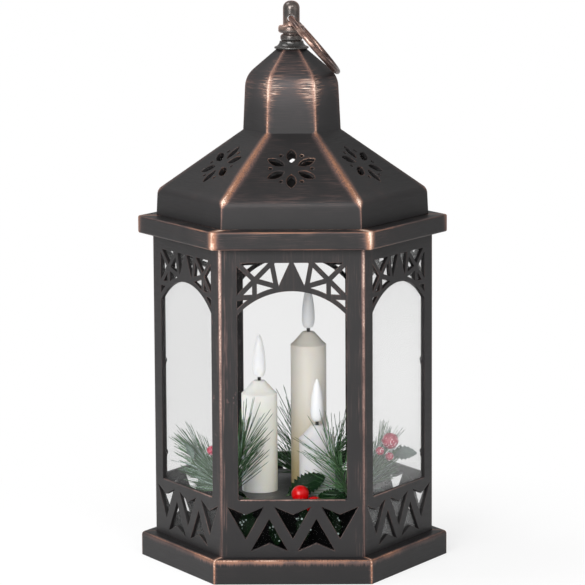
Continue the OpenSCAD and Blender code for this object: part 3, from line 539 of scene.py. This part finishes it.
def moulded(name, rgb, roughness, grain=0.05, metal=0.0, spread=0.12):
    """Moulded plastic or plain metal with a fine grain, in mm, and a little unevenness."""
    coat = Finish(name)
    cloud = coat.noise(90.0, detail=3.0)
    fine = coat.noise(1400.0)
    coat.wire(coat.mix(cloud, tinted(rgb, 1 - spread), tinted(rgb, 1 + spread)),
              fine.remap(0.25, 0.75, roughness - 0.06, roughness + 0.08), {"Metallic": metal})
    return coat.bump(fine, grain * MM, 0.5, coat.soft_edge(0.25 * MM))


def platform_material(looks):
    """Black paint of the platform, with a little gloss on its top and none on its walls."""
    coat = Finish("platform_paint")
    cloud = coat.noise(90.0, detail=3.0)
    top = coat.axes(coat.geometry("Normal"))[2].remap(0.5, 0.9)
    paint = coat.mix(cloud, tinted(looks.plastic, 0.8), looks.plastic)
    paint = coat.mix(top, tinted(looks.plastic, 0.1), paint)
    return coat.wire(paint, cloud.remap(0.3, 0.7, 0.32, 0.42),
                     {"Specular IOR Level": top.remap(0, 1, 0.03, 0.4)})


def wax_material(looks, size, tint, foot, painted_shade):
    """Ivory wax: warm in depth, faintly mottled and smooth. Tint and foot are shifts of its
    colour, over the whole candle and towards its foot; the first is partly painted light, the
    second painted shade. The last argument says how far up that painted shade reaches, as a share
    of the height, and how strong it is at the left and right."""
    coat = Finish("candle_wax_" + size)
    reach, left, right = painted_shade
    low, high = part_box("candle_" + size)
    x, _, z = coat.axes()
    # Painted shade: towards the foot's colour low down and on one side
    shade_mask = (z.remap(low.z, low.z + reach * (high.z - low.z), 1.0, 0.0)
               * x.remap(low.x, high.x, left, right))
    wax = coat.mix(shade_mask, tinted(looks.wax, tint), tinted(looks.wax, foot))
    mottle = coat.noise(120.0, (1, 1, 0.5), 3.0)
    wax = coat.mix(mottle * 0.12, wax, (0.75, 0.72, 0.66))
    coat.wire(wax, coat.noise(600.0).remap(0.3, 0.7, 0.42, 0.55), {
        "Subsurface Weight": 0.35, "Subsurface Radius": (1.0, 0.62, 0.34),
        "Subsurface Scale": 3.0 * MM})
    return coat.bump(mottle, 0.25 * MM, 0.4)


def lens_material(looks, size, shade):
    """Frosted lens of a flame; shade is the share of light it throws back, painted lighter or
    darker for each flame, and what it has over 1 is a painted glow."""
    coat = Finish("flame_frosting_" + size)
    frost = coat.noise(1800.0)
    low, high = (tinted(looks.flame, k * shade) for k in (0.96, 1.04))
    coat.wire(coat.mix(frost, low, high), frost.remap(0.3, 0.7, 0.38, 0.55), {
        "Subsurface Weight": 0.6, "Subsurface Radius": (1.0, 0.9, 0.75),
        "Subsurface Scale": 2.0 * MM,
        # Painted glow from the shade over 1; the lens is no lamp
        "Emission Color": looks.flame, "Emission Strength": max(0.0, shade - 1.0)})
    return coat.bump(frost, 0.03 * MM, 0.4)


def pane_material(looks):
    """Clear sheet: it only dims what is seen square on, and at a slant has a pale base colour, a
    painted sheen of bright surroundings, painted fainter on the panes at the left and brighter on
    those at the right."""
    coat = Finish("pane_sheet")
    slant = coat.out("LayerWeight", {"Blend": 0.5}, "Facing").remap(0.12, 0.55)
    haze = coat.noise(30.0)
    # Painted light: the sheen is brighter towards the panes at the right
    right = coat.axes()[0].remap(-25 * MM, 25 * MM)
    sheen = coat.mix(haze, tinted(looks.pane, 0.94), looks.pane)
    sheen = coat.mix(right, tinted(looks.pane, 0.34), sheen)
    sheen = coat.mix(slant, (0.004, 0.004, 0.004), sheen)
    veil = slant.remap(0.0, 1.0, 0.040, right.remap(0, 1, 0.096, 0.129))
    return coat.wire(sheen, haze.remap(0.3, 0.7, 0.05, 0.09),
                     {"Specular IOR Level": 0.2, "Alpha": veil + haze * 0.01})


def needle_material(looks):
    """Pine needle: its own green from root to tip, and frosting where the attribute says so, which
    on the twigs towards the side panes also paints their pale haze.
    """
    coat = Finish("pine_needle")
    speck = coat.noise(1500.0)
    pale = tuple(min(1, 2.3 * c + 0.02) for c in looks.needle)
    green = coat.mix(coat.attribute("shade"), tinted(looks.needle, 0.45), pale)
    white = coat.attribute("frost") * speck.remap(0.38, 0.6, 0.25, 1.0)
    coat.wire(coat.mix(white, green, looks.flock), white.remap(0.0, 1.0, 0.42, 0.85),
              {"Specular IOR Level": 0.12})
    return coat.bump(speck, 0.05 * MM, 0.4)


def bark_material(looks):
    """Rough brown-green bark of twigs, stems and wires."""
    coat = Finish("twig_bark")
    rings = coat.noise(1.0, (300, 300, 900), 3.0)
    coat.wire(coat.mix(rings, (0.030, 0.042, 0.020), tinted(looks.needle, 0.8)),
              rings.remap(0.3, 0.7, 0.6, 0.85))
    return coat.bump(rings, 0.2 * MM, 0.6)


def leaf_material(looks, group, depth, flecks, frost_and_haze):
    """Waxy leaf with a pale midrib and side veins; depth is the share of light that its green
    throws back, set for each group to paint its light and shade; flecks and the next share are
    those of white specks and of grey-blue frosting, which on the side groups also paints the
    panes' pale haze."""
    coat = Finish("leaf_" + group)
    along, across = coat.attribute("along"), coat.attribute("across")
    cloud = coat.noise(160.0, detail=3.0)
    herring = (along * 9.0 + across * -2.6).calc("FRACT")
    veins = abs(herring - 0.5).remap(0.09, 0.02) * 0.5
    lines = across.remap(0.09, 0.02).most(veins)
    dark, light, pale = (tinted(looks.holly, depth * k) for k in (0.6, 1.6, 3.0))
    green = coat.mix(lines * 0.45, coat.mix(cloud, dark, light), pale)
    # Grey-blue frosting, partly a painted haze of the panes in front
    green = coat.mix(cloud.remap(0.2, 0.8, 0.8 * frost_and_haze, frost_and_haze), green, FROST_HAZE_COLOUR)
    if flecks:
        rare = 0.66 - 0.2 * flecks
        grains = coat.out("TexVoronoi", {"Vector": coat.place(), "Scale": 520.0}, "Distance")
        spots = grains.remap(0.34, 0.24) * coat.noise(130.0, detail=1.0).remap(rare, rare + 0.06)
        green = coat.mix(spots, green, looks.flock)
    coat.wire(green, cloud.remap(0.3, 0.7, 0.34, 0.50), {"Specular IOR Level": 0.07})
    return coat.bump(cloud - lines, 0.25 * MM, 0.6)


def berry_material(looks):
    """Glossy lacquered berry with a dark eye at its tip."""
    coat = Finish("berry_lacquer")
    cloud = coat.noise(220.0)
    red = coat.mix(cloud, tinted(looks.berry, 0.82), looks.berry)
    red = coat.mix(coat.attribute("eye"), red, (0.03, 0.012, 0.010))
    return coat.wire(red, cloud.remap(0.3, 0.7, 0.03, 0.06), {
        "Specular IOR Level": 0.15, "Coat Weight": 0.4, "Coat Roughness": 0.02})


def sugar_material(looks, flakes):
    """Pink-red berry body, or the glitter flakes on it, from deep red to silver pink."""
    coat = Finish("berry_glitter_flakes" if flakes else "berry_sugar")
    tone = coat.attribute("tone") if flakes else coat.noise(700.0)
    pale = (0.95, 0.76, 0.80) if flakes else looks.sugar
    stops = [(0.0, tinted(looks.sugar, 0.4)), (0.55, looks.sugar), (0.8, pale), (1.0, pale)]
    return coat.wire(coat.ramp(tone, stops), tone.remap(0.0, 1.0, 0.22, 0.45),
                     {"Metallic": 0.25 if flakes else 0.0})


def cell_material():
    """Plain battery wrap: dark grey with a warm band at its ends."""
    coat = Finish("cell_wrap_bands")
    band = abs(coat.axes()[0]).remap(13.4 * MM, 13.9 * MM)
    cloud = coat.noise(300.0)
    grey = coat.mix(cloud, (0.050, 0.055, 0.060), (0.075, 0.080, 0.085))
    return coat.wire(coat.mix(band, grey, (0.48, 0.33, 0.14)), cloud.remap(0.3, 0.7, 0.28, 0.36))


def dress(mat, *nodes):
    """Gives CAD nodes a finish."""
    for node in nodes:
        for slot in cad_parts[node].material_slots:
            slot.material = mat


# Mesh making

def circle(middle, radius, first, other, count):
    """Points round a middle, in the plane of two directions square to each other."""
    turns = (2 * math.pi * k / count for k in range(count))
    return [middle + radius * (math.cos(a) * first + math.sin(a) * other) for a in turns]


def square_to(ahead):
    """Two directions that are square to ahead and to each other."""
    first = ahead.orthogonal().normalized()
    return first, ahead.cross(first)


class Skin:
    """Vertices, faces, point attributes and material numbers of one piece, in metres."""

    def __init__(self, *attributes):
        self.points, self.faces, self.slots = [], [], []
        self.values = {name: [] for name in attributes}

    def point(self, p, **values):
        self.points.append(tuple(p))
        for name, column in self.values.items():
            column.append(values.get(name, 0.0))
        return len(self.points) - 1

    def ring(self, points, **values):
        return [self.point(p, **values) for p in points]

    def face(self, corners, slot=0):
        self.faces.append(tuple(corners))
        self.slots.append(slot)

    def stitch(self, rings, slot):
        """Faces between rings that follow one another, and flat ends; a ring of one point closes
        that end in a tip."""
        for low, high in zip(rings, rings[1:]):
            count = max(len(low), len(high))
            for k in range(count):
                j = (k + 1) % count
                corners = (low[k % len(low)], low[j % len(low)],
                           high[j % len(high)], high[k % len(high)])
                self.face(dict.fromkeys(corners), slot)
        for end in (rings[0][::-1], rings[-1]):
            if len(end) > 1:
                self.face(end, slot)

    def tube(self, path, radii, sides, slot=0, **columns):
        """A closed tube along path; a radius of 0 closes it in a point."""
        rings = []
        side = None
        for i, (p, r) in enumerate(zip(path, radii)):
            ahead = (path[min(i + 1, len(path) - 1)] - path[max(i - 1, 0)]).normalized()
            if side is None:
                side = ahead.orthogonal().normalized()
            side = (side - ahead * side.dot(ahead)).normalized()
            values = {name: column[i] for name, column in columns.items()}
            points = circle(p, r, side, ahead.cross(side), sides) if r else [p]
            rings.append(self.ring(points, **values))
        self.stitch(rings, slot)

    def build(self, name, mats, body, slot, *nodes):
        """Makes the piece, which rides on body and stands for nodes."""
        mesh = bpy.data.meshes.new(name)
        mesh.from_pydata(self.points, [], self.faces)
        mesh.polygons.foreach_set("material_index", self.slots)
        for attribute_name, column in self.values.items():
            layer = mesh.attributes.new(attribute_name, "FLOAT", "POINT")
            layer.data.foreach_set("value", column)
        for mat in mats:
            mesh.materials.append(mat)
        mesh.shade_smooth()
        mesh.validate()
        piece = bpy.data.objects.new(name, mesh)
        bpy.context.scene.collection.objects.link(piece)
        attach(piece, body)
        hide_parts(*nodes)


def on_platform(p):
    """A point given in millimetres with its height above the platform, in metres."""
    return Vector((p[0] * MM, p[1] * MM, PLATFORM_TOP + p[2] * MM))


def candle_column(size):
    """Middle and radius of a candle, and the top of its flame."""
    low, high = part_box("candle_" + size)
    return (low + high) / 2, (high.x - low.x) / 2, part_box("flame_" + size)[1].z


COLUMNS = [candle_column(size) for size in CANDLES]


def is_blocked(p):
    """True in a candle, in a berry, past a pane or under the platform's top."""
    if p.z < PLATFORM_TOP + NEEDLE_GAP:
        return True
    for k in range(6):
        a = math.radians(30 + 60 * k)
        if p.x * math.cos(a) + p.y * math.sin(a) > PANE_INSIDE - PANE_GAP:
            return True
    for middle, radius, top in COLUMNS:
        if p.z < top and math.hypot(p.x - middle.x, p.y - middle.y) < radius + NEEDLE_GAP:
            return True
    balls = RED_BERRIES + tuple(b[:2] for b in SUGARED_BERRIES)
    return any((p - on_platform(c)).length < r * MM + NEEDLE_GAP for c, r in balls)


def bow(points, t):
    """The point at share t of a twig's curve, and the direction there."""
    a, b, c = points
    first, second = a.lerp(b, t), b.lerp(c, t)
    return first.lerp(second, t), (second - first).normalized()


class LANTERN_OT_stage(bpy.types.Operator):
    """Camera, lamps, floor and white surroundings"""

    bl_idname = "lantern.stage"
    bl_label = "Studio"

    def camera(self, scene):
        data = bpy.data.cameras.new("camera")
        data.sensor_width = SENSOR_MM
        data.lens = FOCAL_PIXELS * SENSOR_MM / IMAGE_PIXELS
        data.clip_end = CAMERA_REACH
        camera = bpy.data.objects.new("camera", data)
        scene.collection.objects.link(camera)
        camera.matrix_world = (
            Matrix.Translation(CAMERA_PLACE) @ Matrix.Rotation(CAMERA_HEADING, 4, "Z")
            @ Matrix.Rotation(math.pi / 2 - CAMERA_PITCH, 4, "X")
            @ Matrix.Rotation(-CAMERA_ROLL, 4, "Z"))
        scene.camera = camera

    def floor(self, scene):
        """Pale floor that shows the lantern's shadow near the foot and turns white further out."""
        mesh = bpy.data.meshes.new("studio_floor")
        corners = [(x * FLOOR_HALF, y * FLOOR_HALF, FLOOR_LEVEL)
                   for x, y in ((-1, -1), (1, -1), (1, 1), (-1, 1))]
        mesh.from_pydata(corners, [], [(0, 1, 2, 3)])
        floor = bpy.data.objects.new("studio_floor", mesh)
        scene.collection.objects.link(floor)
        white = Finish("studio_white")
        white.wire(white.mix(white.noise(3.0), (0.86, 0.86, 0.86), (0.88, 0.88, 0.88)), 0.9,
                   {"Specular IOR Level": 0.0})
        reach = white.out("VectorMath", (white.place(),), "Value", operation="LENGTH")
        glow = white.white_ray() * reach.remap(SHADOW_NEAR, SHADOW_FAR, 0.72, 1.0)
        shaders = Value(white, white.shader.outputs[0]), white.out("Emission")
        blend = white.out("MixShader", (glow, *shaders))
        white.feed(white.tree.nodes["Material Output"].inputs[0], blend)
        mesh.materials.append(white.mat)

    def surroundings(self, scene):
        world = bpy.data.worlds.new("studio")
        world.use_nodes = True
        sky = Wires(world.node_tree)
        inputs = sky.tree.nodes["Background"].inputs
        sky.feed(inputs["Color"], (1, 1, 1))
        sky.feed(inputs["Strength"], sky.white_ray().remap(0, 1, 0.45, 1.0))
        scene.world = world

    def execute(self, context):
        scene = context.scene
        self.camera(scene)
        self.floor(scene)
        self.surroundings(scene)
        for name, (spot, size, watts) in LAMPS.items():
            light = bpy.data.lights.new(name, "AREA")
            light.size, light.energy = size, watts
            lamp = bpy.data.objects.new(name, light)
            lamp.location = spot
            way = Vector(LAMP_AIM) - Vector(spot)
            lamp.rotation_euler = way.to_track_quat("-Z", "Y").to_euler()
            scene.collection.objects.link(lamp)
        scene.view_settings.view_transform = "Standard"
        return {"FINISHED"}


class LANTERN_OT_shell(bpy.types.Operator):
    """Brushed bronze on the plinth, panels, collar, roof, finial and ring"""

    bl_idname = "lantern.shell"
    bl_label = "Bronze shell"

    def plinth(self, looks):
        coat = Patina("bronze_plinth", looks, 0.52, (1.08, 0.86, 0.66), 0.90)
        rim, top = DECK_RIM.y, DECK_RIM.z
        coat.corner_strokes([(0, 2.6), (top, 3.4)], [(0, 0.30), (top, 0.60)])
        coat.corner_glow([(0, 1.4), (top, 1.8)], [(0, 0.52), (top, 0.84)])
        coat.rim(rim - 0.7 * MM, top - 0.7 * MM, 1.2 * MM, 0.76)
        coat.rim(rim - 0.3 * MM, top - 1.4 * MM, 3.4 * MM, 0.40)
        coat.wash([(0, 0.05), (top, 0.12)])
        dress(coat.finish(), "base_plinth")

    def panels(self, looks):
        coat = Patina("bronze_panel", looks, 0.45, (0.98, 1.04, 1.14), 1.0)
        low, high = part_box("panel_front")
        foot, top = low.z, high.z
        coat.corner_strokes([(foot, 6.0), (top, 6.0)], [(foot, 0.34), (top, 0.40)], coat.upright)
        coat.corner_glow([(foot, 1.5), (top, 2.2)], [(foot, 0.24), (SILL, 0.40), (top, 0.84)])
        coat.wash([(foot, 0.03), (SILL, 0.10), (top, 0.15)], coat.upright)
        coat.chips(0.40, SILL)
        coat.rim(-low.y, SILL, 1.3 * MM, 0.66, start=POST)
        coat.worn_edges(0.6 * MM, 0.50)
        dress(coat.finish(), *("panel_" + side for side in PANELS))

    def collar(self, looks):
        coat = Patina("bronze_collar", looks, 0.52, (1.08, 0.88, 0.70), 0.94)
        low, top, eave = COLLAR_LOW.z, COLLAR_HIGH.z - LIP_HEIGHT, COLLAR_HIGH.y
        coat.corner_strokes([(low, 13), (top, 15)], [(low, 0.38), (top, 0.50)])
        coat.corner_glow([(low, 5.5), (top, 6.5)], [(low, 0.70), (top, 0.84)], 0.85)
        coat.corner_glow([(low, 2.4), (top, 2.8)], [(low, 0.72), (top, 0.86)], 0.95)
        coat.rim(eave - 0.4 * MM, top - 0.4 * MM, 1.2 * MM, 0.52, coat.level)
        coat.rim(eave - 0.4 * MM, low + 0.4 * MM, 1.0 * MM, 0.40, coat.level)
        coat.wash([(low, 0.14), (top, 0.22)])
        dress(coat.finish(), "eave_collar")

    def roof(self, looks):
        coat = Patina("bronze_roof", looks, 0.36, (1.08, 0.84, 0.60), 0.80)
        low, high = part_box("roof")
        shares, *columns = zip(*ROOF_COPPER)
        up = [low.z + share * (high.z - low.z) for share in shares]
        glow, shine, line, reach, force, veil, painted_sheen, warm = (
            list(zip(up, column)) for column in columns)
        coat.corner_glow(glow, shine, 0.66, 3.0)
        coat.corner_glow([(up[0], 1.1), (up[-1], 1.1)], line)
        coat.corner_strokes(reach, force)
        coat.wash(veil)
        coat.worn_edges(0.6 * MM, 0.75)
        dress(coat.finish(0.8 * MM, painted_sheen, warm), "roof")

    def finial(self, looks):
        foot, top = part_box("finial_bell")[0].z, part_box("finial_post")[1].z
        step = (top - foot) / (len(FINIAL_COPPER_AND_SHINE) - 1)
        stops = [(foot + k * step, v) for k, v in enumerate(FINIAL_COPPER_AND_SHINE)]
        dress(turned_bronze("bronze_finial", looks, FINIAL_PAINT, stops, True),
              "finial_bell", "finial_post")

    def ring(self, looks):
        low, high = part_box("ring_handle")
        stops = [(low.z + share * (high.z - low.z), v) for share, v in RING_COPPER_SHINE_AND_SHADE]
        dress(turned_bronze("bronze_ring", looks, tinted(looks.copper_deep, 0.7), stops, False),
              "ring_handle")

    def execute(self, context):
        looks = context.scene.lantern_finishes
        for coat in (self.plinth, self.panels, self.collar, self.roof, self.finial, self.ring):
            coat(looks)
        return {"FINISHED"}


class LANTERN_OT_panes(bpy.types.Operator):
    """Clear sheets behind the windows"""

    bl_idname = "lantern.panes"
    bl_label = "Panes"

    def execute(self, context):
        looks = context.scene.lantern_finishes
        dress(pane_material(looks), *("pane_" + side for side in PANELS))
        return {"FINISHED"}


class LANTERN_OT_candles(bpy.types.Operator):
    """Wax candles, frosted flames, wicks and LEDs"""

    bl_idname = "lantern.candles"
    bl_label = "Candles"

    def execute(self, context):
        looks = context.scene.lantern_finishes
        for size, (tint, foot, painted_shade, shade) in CANDLES.items():
            dress(wax_material(looks, size, tint, foot, painted_shade), "candle_" + size)
            dress(lens_material(looks, size, shade), "flame_" + size)
        dress(moulded("wick_neck", (0.012, 0.012, 0.012), 0.5), "wicks")
        dress(moulded("led_resin", (0.85, 0.80, 0.60), 0.2), "leds")
        dress(moulded("lead_sleeve", (0.50, 0.03, 0.025), 0.4), "led_leads")
        return {"FINISHED"}


class LANTERN_OT_base(bpy.types.Operator):
    """Platform, base cover, door, switch and the electrics behind them"""

    bl_idname = "lantern.base"
    bl_label = "Base"

    def springs(self):
        """Coiled contact springs in place of the CAD cones."""
        skin = Skin()
        low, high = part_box("contact_springs")
        wide, narrow = SPRING_RADII
        count = int(SPRING_TURNS * SPRING_STEPS)
        for row in (-1, 0, 1):
            toward = -1 if row == 0 else 1
            start = Vector((-toward * max(-low.x, high.x), row * CELL_PITCH, (low.z + high.z) / 2))
            path = []
            for i in range(count + 1):
                t = i / count
                r = wide - (wide - narrow) * t
                a = 2 * math.pi * SPRING_TURNS * t
                along = SPRING_WIRE + (SPRING_LENGTH - 2 * SPRING_WIRE) * t
                path.append(start + Vector((toward * along, r * math.cos(a), r * math.sin(a))))
            skin.tube(path, [SPRING_WIRE] * len(path), 8)
        steel = moulded("spring_wire", (0.62, 0.60, 0.55), 0.28, 0.02, 1.0)
        skin.build("coil_springs", [steel], "lantern", "zinc", "contact_springs")

    def execute(self, context):
        looks = context.scene.lantern_finishes
        dress(moulded("black_moulding", looks.plastic, 0.48, 0.08),
              "bottom_cover", "battery_tray", "battery_door")
        dress(platform_material(looks), "candle_platform")
        dress(moulded("knob_moulding", (0.016, 0.016, 0.017), 0.38), "switch_knob")
        dress(moulded("zinc_plate", (0.55, 0.55, 0.53), 0.32, 0.02, 1.0),
              "cover_screws", "switch_body", "contact_plates", "finial_nut")
        dress(moulded("board_resist", (0.012, 0.085, 0.028), 0.30, 0.03, spread=0.3),
              "circuit_board")
        dress(moulded("chip_resin", (0.018, 0.018, 0.019), 0.5), "board_parts")
        dress(cell_material(), "batteries")
        self.springs()
        return {"FINISHED"}


class LANTERN_OT_pine(bpy.types.Operator):
    """Full pine sprigs in place of the CAD twigs"""

    bl_idname = "lantern.pine"
    bl_label = "Pine sprigs"

    def needle(self, skin, root, way, ahead, length, radius, frost_and_haze, frosted, draw):
        """One needle that sweeps towards the twig's tip and stops short of what is in its way; the
        share of frosting given is its frost, which on the twigs towards the side panes also paints
        their pale haze, and a frosted one has flakes of it too."""
        sweep = 0.02 + 0.12 * draw.random()
        path, marks = [root], [0.0]
        for mark in NEEDLE_MARKS:
            s = length * mark
            p = root + way * s + ahead * (sweep * s * mark)
            p += Vector((0, 0, -NEEDLE_DROOP * s * mark))
            if is_blocked(p):
                break
            path.append(p)
            marks.append(mark)
        if len(path) < 3:
            return
        tone = draw.random()
        start = 0.1 + 0.4 * draw.random()
        cover = draw.choice((0.45, 0.55, 0.95))
        radii = [radius * (1 - 0.3 * mark) for mark in marks[:-1]] + [0]
        shades = [tone * (1 - 0.8 * mark) for mark in marks]
        # Frost fading to the tip, on the twigs towards the side panes also a painted haze
        frost_haze_levels = [cover if frosted and start <= mark < 0.9 else frost_and_haze * (1 - mark)
                  for mark in marks]
        skin.tube(path, radii, 3, 1, shade=shades, frost=frost_haze_levels)

    def twig(self, skin, points, habit, sizes, draw):
        """A twig of bark and its needles; habit is a row of TENDS."""
        shares = [i / TWIG_STEPS for i in range(TWIG_STEPS + 1)]
        skin.tube([bow(points, t)[0] for t in shares], [(0.95 - 0.45 * t) * MM for t in shares], 8)
        tend, spread, crowd, share, long, frost_and_haze, flaked = habit
        count = int(sizes.needles * share)
        for k in range(count):
            t = 0.02 + 0.97 * ((k + draw.random()) / count) ** crowd
            root, ahead = bow(points, t)
            first, other = square_to(ahead)
            turn = 2 * math.pi * draw.random()
            tilt = math.radians(NEEDLE_TILT * (1.12 - 0.55 * t * t)
                                + NEEDLE_TILT_RANGE * draw.uniform(-1, 1))
            tilt *= spread * (1.35 if crowd > 1.5 and t < 0.25 else 1.0)
            out = math.cos(turn) * first + math.sin(turn) * other
            way = (math.cos(tilt) * ahead + math.sin(tilt) * out + Vector(tend)).normalized()
            length = sizes.needle_length * long * draw.uniform(0.66, 1.0)
            radius = sizes.needle_radius * draw.uniform(0.85, 1.15)
            self.needle(skin, root, way, ahead, length, radius, frost_and_haze,
                        draw.random() < flaked, draw)

    def execute(self, context):
        sizes = context.scene.lantern_sizes
        looks = context.scene.lantern_finishes
        mats = [bark_material(looks), needle_material(looks)]
        for seed, (side, twigs) in enumerate(TWIGS.items()):
            draw = random.Random(PINE_SEED + seed)
            skin = Skin("shade", "frost")
            for twig, habit in zip(twigs, TENDS[side]):
                self.twig(skin, [on_platform(p) for p in twig], habit, sizes, draw)
            skin.build("sprig_" + side, mats, "lantern", "pine", "pine_" + side)
        return {"FINISHED"}


class LANTERN_OT_holly(bpy.types.Operator):
    """Spiny holly leaves in place of the CAD leaves"""

    bl_idname = "lantern.holly"
    bl_label = "Holly leaves"

    def leaf(self, skin, middle, turn, lift, roll, size, thick, foot, edge, draw):
        """A bowed leaf folded along its midrib, with hollows between the spines of its edge; edge
        is the number of spines, and the depth and the sharpness of a hollow."""
        turned = Euler([math.radians(v) for v in (roll, -lift, turn)]).to_matrix()
        ahead, side, up = turned.col
        spines, depth, sharp = edge
        rows, columns = LEAF_ROWS * spines, LEAF_COLUMNS
        bend = LEAF_BEND * size
        wave = draw.uniform(0, 6)
        rings = []
        for i in range(rows + 1):
            u = i / rows
            belly = LEAF_WIDTH * size * math.sin(math.pi * (0.03 + 0.95 * u)) ** 0.75
            near = abs((u * spines) % 1 - 0.5) * 2
            width = belly * (1 - depth * (1 - near) ** sharp * (1 - 0.5 * u))
            centre = middle + (u - 0.5) * size * ahead - bend * (2 * u - 1) ** 2 * up
            top, under = [], []
            for j in range(-columns, columns + 1):
                v = j / columns
                ripple = LEAF_RIPPLE * math.sin(9 * u + wave) * v * abs(v)
                p = centre + v * width * side + (abs(v) * width * LEAF_FOLD + ripple) * up
                half = thick * (0.5 + 0.9 * (1 - abs(v)) ** 4) / 2 * up
                top.append(skin.point(p + half, along=u, across=abs(v)))
                under.append(skin.point(p - half, along=u, across=abs(v)))
            rings.append(top[::-1] + under)
        skin.stitch(rings, 0)
        root = middle - 0.5 * size * ahead - bend * up
        back = root - 1.6 * MM * ahead
        path = [root + 1.5 * MM * ahead, root, back]
        if foot is not None:
            path += [back.lerp(foot, 0.5) + Vector((0, 0, 1.2 * MM)), foot]
        halves = [0.5] * len(path)
        skin.tube(path, [STEM] * len(path), 8, 1, along=halves, across=halves)

    def execute(self, context):
        looks = context.scene.lantern_finishes
        thick = context.scene.lantern_sizes.leaf_thickness
        bark = bark_material(looks)
        for seed, (group, leaves) in enumerate(LEAVES.items()):
            draw = random.Random(HOLLY_SEED + seed)
            skin = Skin("along", "across")
            for middle, turn, lift, roll, size, foot in leaves:
                self.leaf(skin, on_platform(middle), turn, lift, roll, size * MM, thick,
                          on_platform(foot) if foot else None, LEAF_EDGES[group], draw)
            mat = leaf_material(looks, group, *LEAF_LOOKS[group])
            skin.build("leaves_" + group, [mat, bark], "lantern", "holly", "holly_" + group)
        return {"FINISHED"}


class LANTERN_OT_berries(bpy.types.Operator):
    """Lacquered and glitter berries in place of the CAD balls"""

    bl_idname = "lantern.berries"
    bl_label = "Berries"

    def ball(self, skin, middle, radius, pole, dimple, rows, sides):
        """A ball turned about pole; a dimple comes with a dark eye, both at its tip."""
        first, other = square_to(pole)
        rings = []
        for i in range(rows, -1, -1):
            a = math.pi * i / rows
            r = radius * (1 - dimple * math.exp(-(a / DIMPLE_WIDTH) ** 2))
            eye = math.exp(-(a / EYE_WIDTH) ** 4) if dimple else 0.0
            centre = middle + r * math.cos(a) * pole
            points = (circle(centre, r * math.sin(a), first, other, sides) if 0 < i < rows
                      else [centre])
            rings.append(skin.ring(points, eye=eye))
        skin.stitch(rings, 0)

    def flakes(self, skin, middle, radius, width, draw):
        """Glitter flakes: small thin hexagons that lie at odd angles on a ball."""
        for _ in range(int(FLAKE_CROWD * (radius / width) ** 2)):
            z = draw.uniform(-1, 1)
            a = draw.uniform(0, 2 * math.pi)
            flat = math.sqrt(1 - z * z)
            out = Vector((flat * math.cos(a), flat * math.sin(a), z))
            lean = Vector([draw.uniform(-1, 1) for _ in range(3)])
            normal = (out + FLAKE_LEAN * lean).normalized()
            first, other = square_to(normal)
            centre = middle + out * (radius * FLAKE_DEPTH)
            tone = draw.choice(FLAKE_TONES)
            half = width / 2 * draw.uniform(0.7, 1.0)
            skin.stitch([skin.ring(circle(centre + h * normal, half, first, other, 6), tone=tone)
                         for h in (-FLAKE_HALF, FLAKE_HALF)], 1)

    def execute(self, context):
        looks = context.scene.lantern_finishes
        sizes = context.scene.lantern_sizes
        skin = Skin("eye")
        for centre, radius in RED_BERRIES:
            self.ball(skin, on_platform(centre), radius * MM, RED_POLE, RED_DIMPLE, 28, 40)
        skin.build("berries_lacquered", [berry_material(looks)],
                   "lantern", "berry_red", "berries_red")

        draw = random.Random(GLITTER_SEED)
        skin = Skin("tone", "eye")
        for centre, radius, foot in SUGARED_BERRIES:
            middle, root = on_platform(centre), on_platform(foot)
            body = radius * SUGARED_BODY * MM
            self.ball(skin, middle, body, Vector((0, 0, 1)), 0.0, 20, 28)
            self.flakes(skin, middle, body, sizes.flake, draw)
            skin.tube([root, root.lerp(middle, 0.5), middle], [STEM] * 3, 8, 2)
        mats = [sugar_material(looks, False), sugar_material(looks, True), bark_material(looks)]
        skin.build("berries_sugared", mats, "lantern", "berry_glitter", "berries_glitter")
        return {"FINISHED"}


class LANTERN_PT_panel(bpy.types.Panel):
    """Lists the steps, sizes and finishes of the lantern"""

    bl_idname = "LANTERN_PT_panel"
    bl_label = "LED candle lantern"
    bl_space_type = "VIEW_3D"
    bl_region_type = "UI"
    bl_category = "Lantern"

    def draw(self, context):
        for group in (context.scene.lantern_sizes, context.scene.lantern_finishes):
            for name in group.__annotations__:
                self.layout.prop(group, name)
        for step in STEPS:
            self.layout.operator(step.bl_idname)


STEPS = (LANTERN_OT_stage, LANTERN_OT_shell, LANTERN_OT_panes, LANTERN_OT_candles,
         LANTERN_OT_base, LANTERN_OT_pine, LANTERN_OT_holly, LANTERN_OT_berries)
CLASSES = (LanternFinishes, LanternSizes, *STEPS, LANTERN_PT_panel)


def register():
    for cls in CLASSES:
        bpy.utils.register_class(cls)
    bpy.types.Scene.lantern_finishes = PointerProperty(type=LanternFinishes)
    bpy.types.Scene.lantern_sizes = PointerProperty(type=LanternSizes)


def unregister():
    del bpy.types.Scene.lantern_finishes
    del bpy.types.Scene.lantern_sizes
    for cls in reversed(CLASSES):
        bpy.utils.unregister_class(cls)


def main():
    register()
    bpy.ops.lantern.stage()
    bpy.ops.lantern.shell()
    bpy.ops.lantern.panes()
    bpy.ops.lantern.candles()
    bpy.ops.lantern.base()
    bpy.ops.lantern.pine()
    bpy.ops.lantern.holly()
    bpy.ops.lantern.berries()


if __name__ == "__main__":
    main()
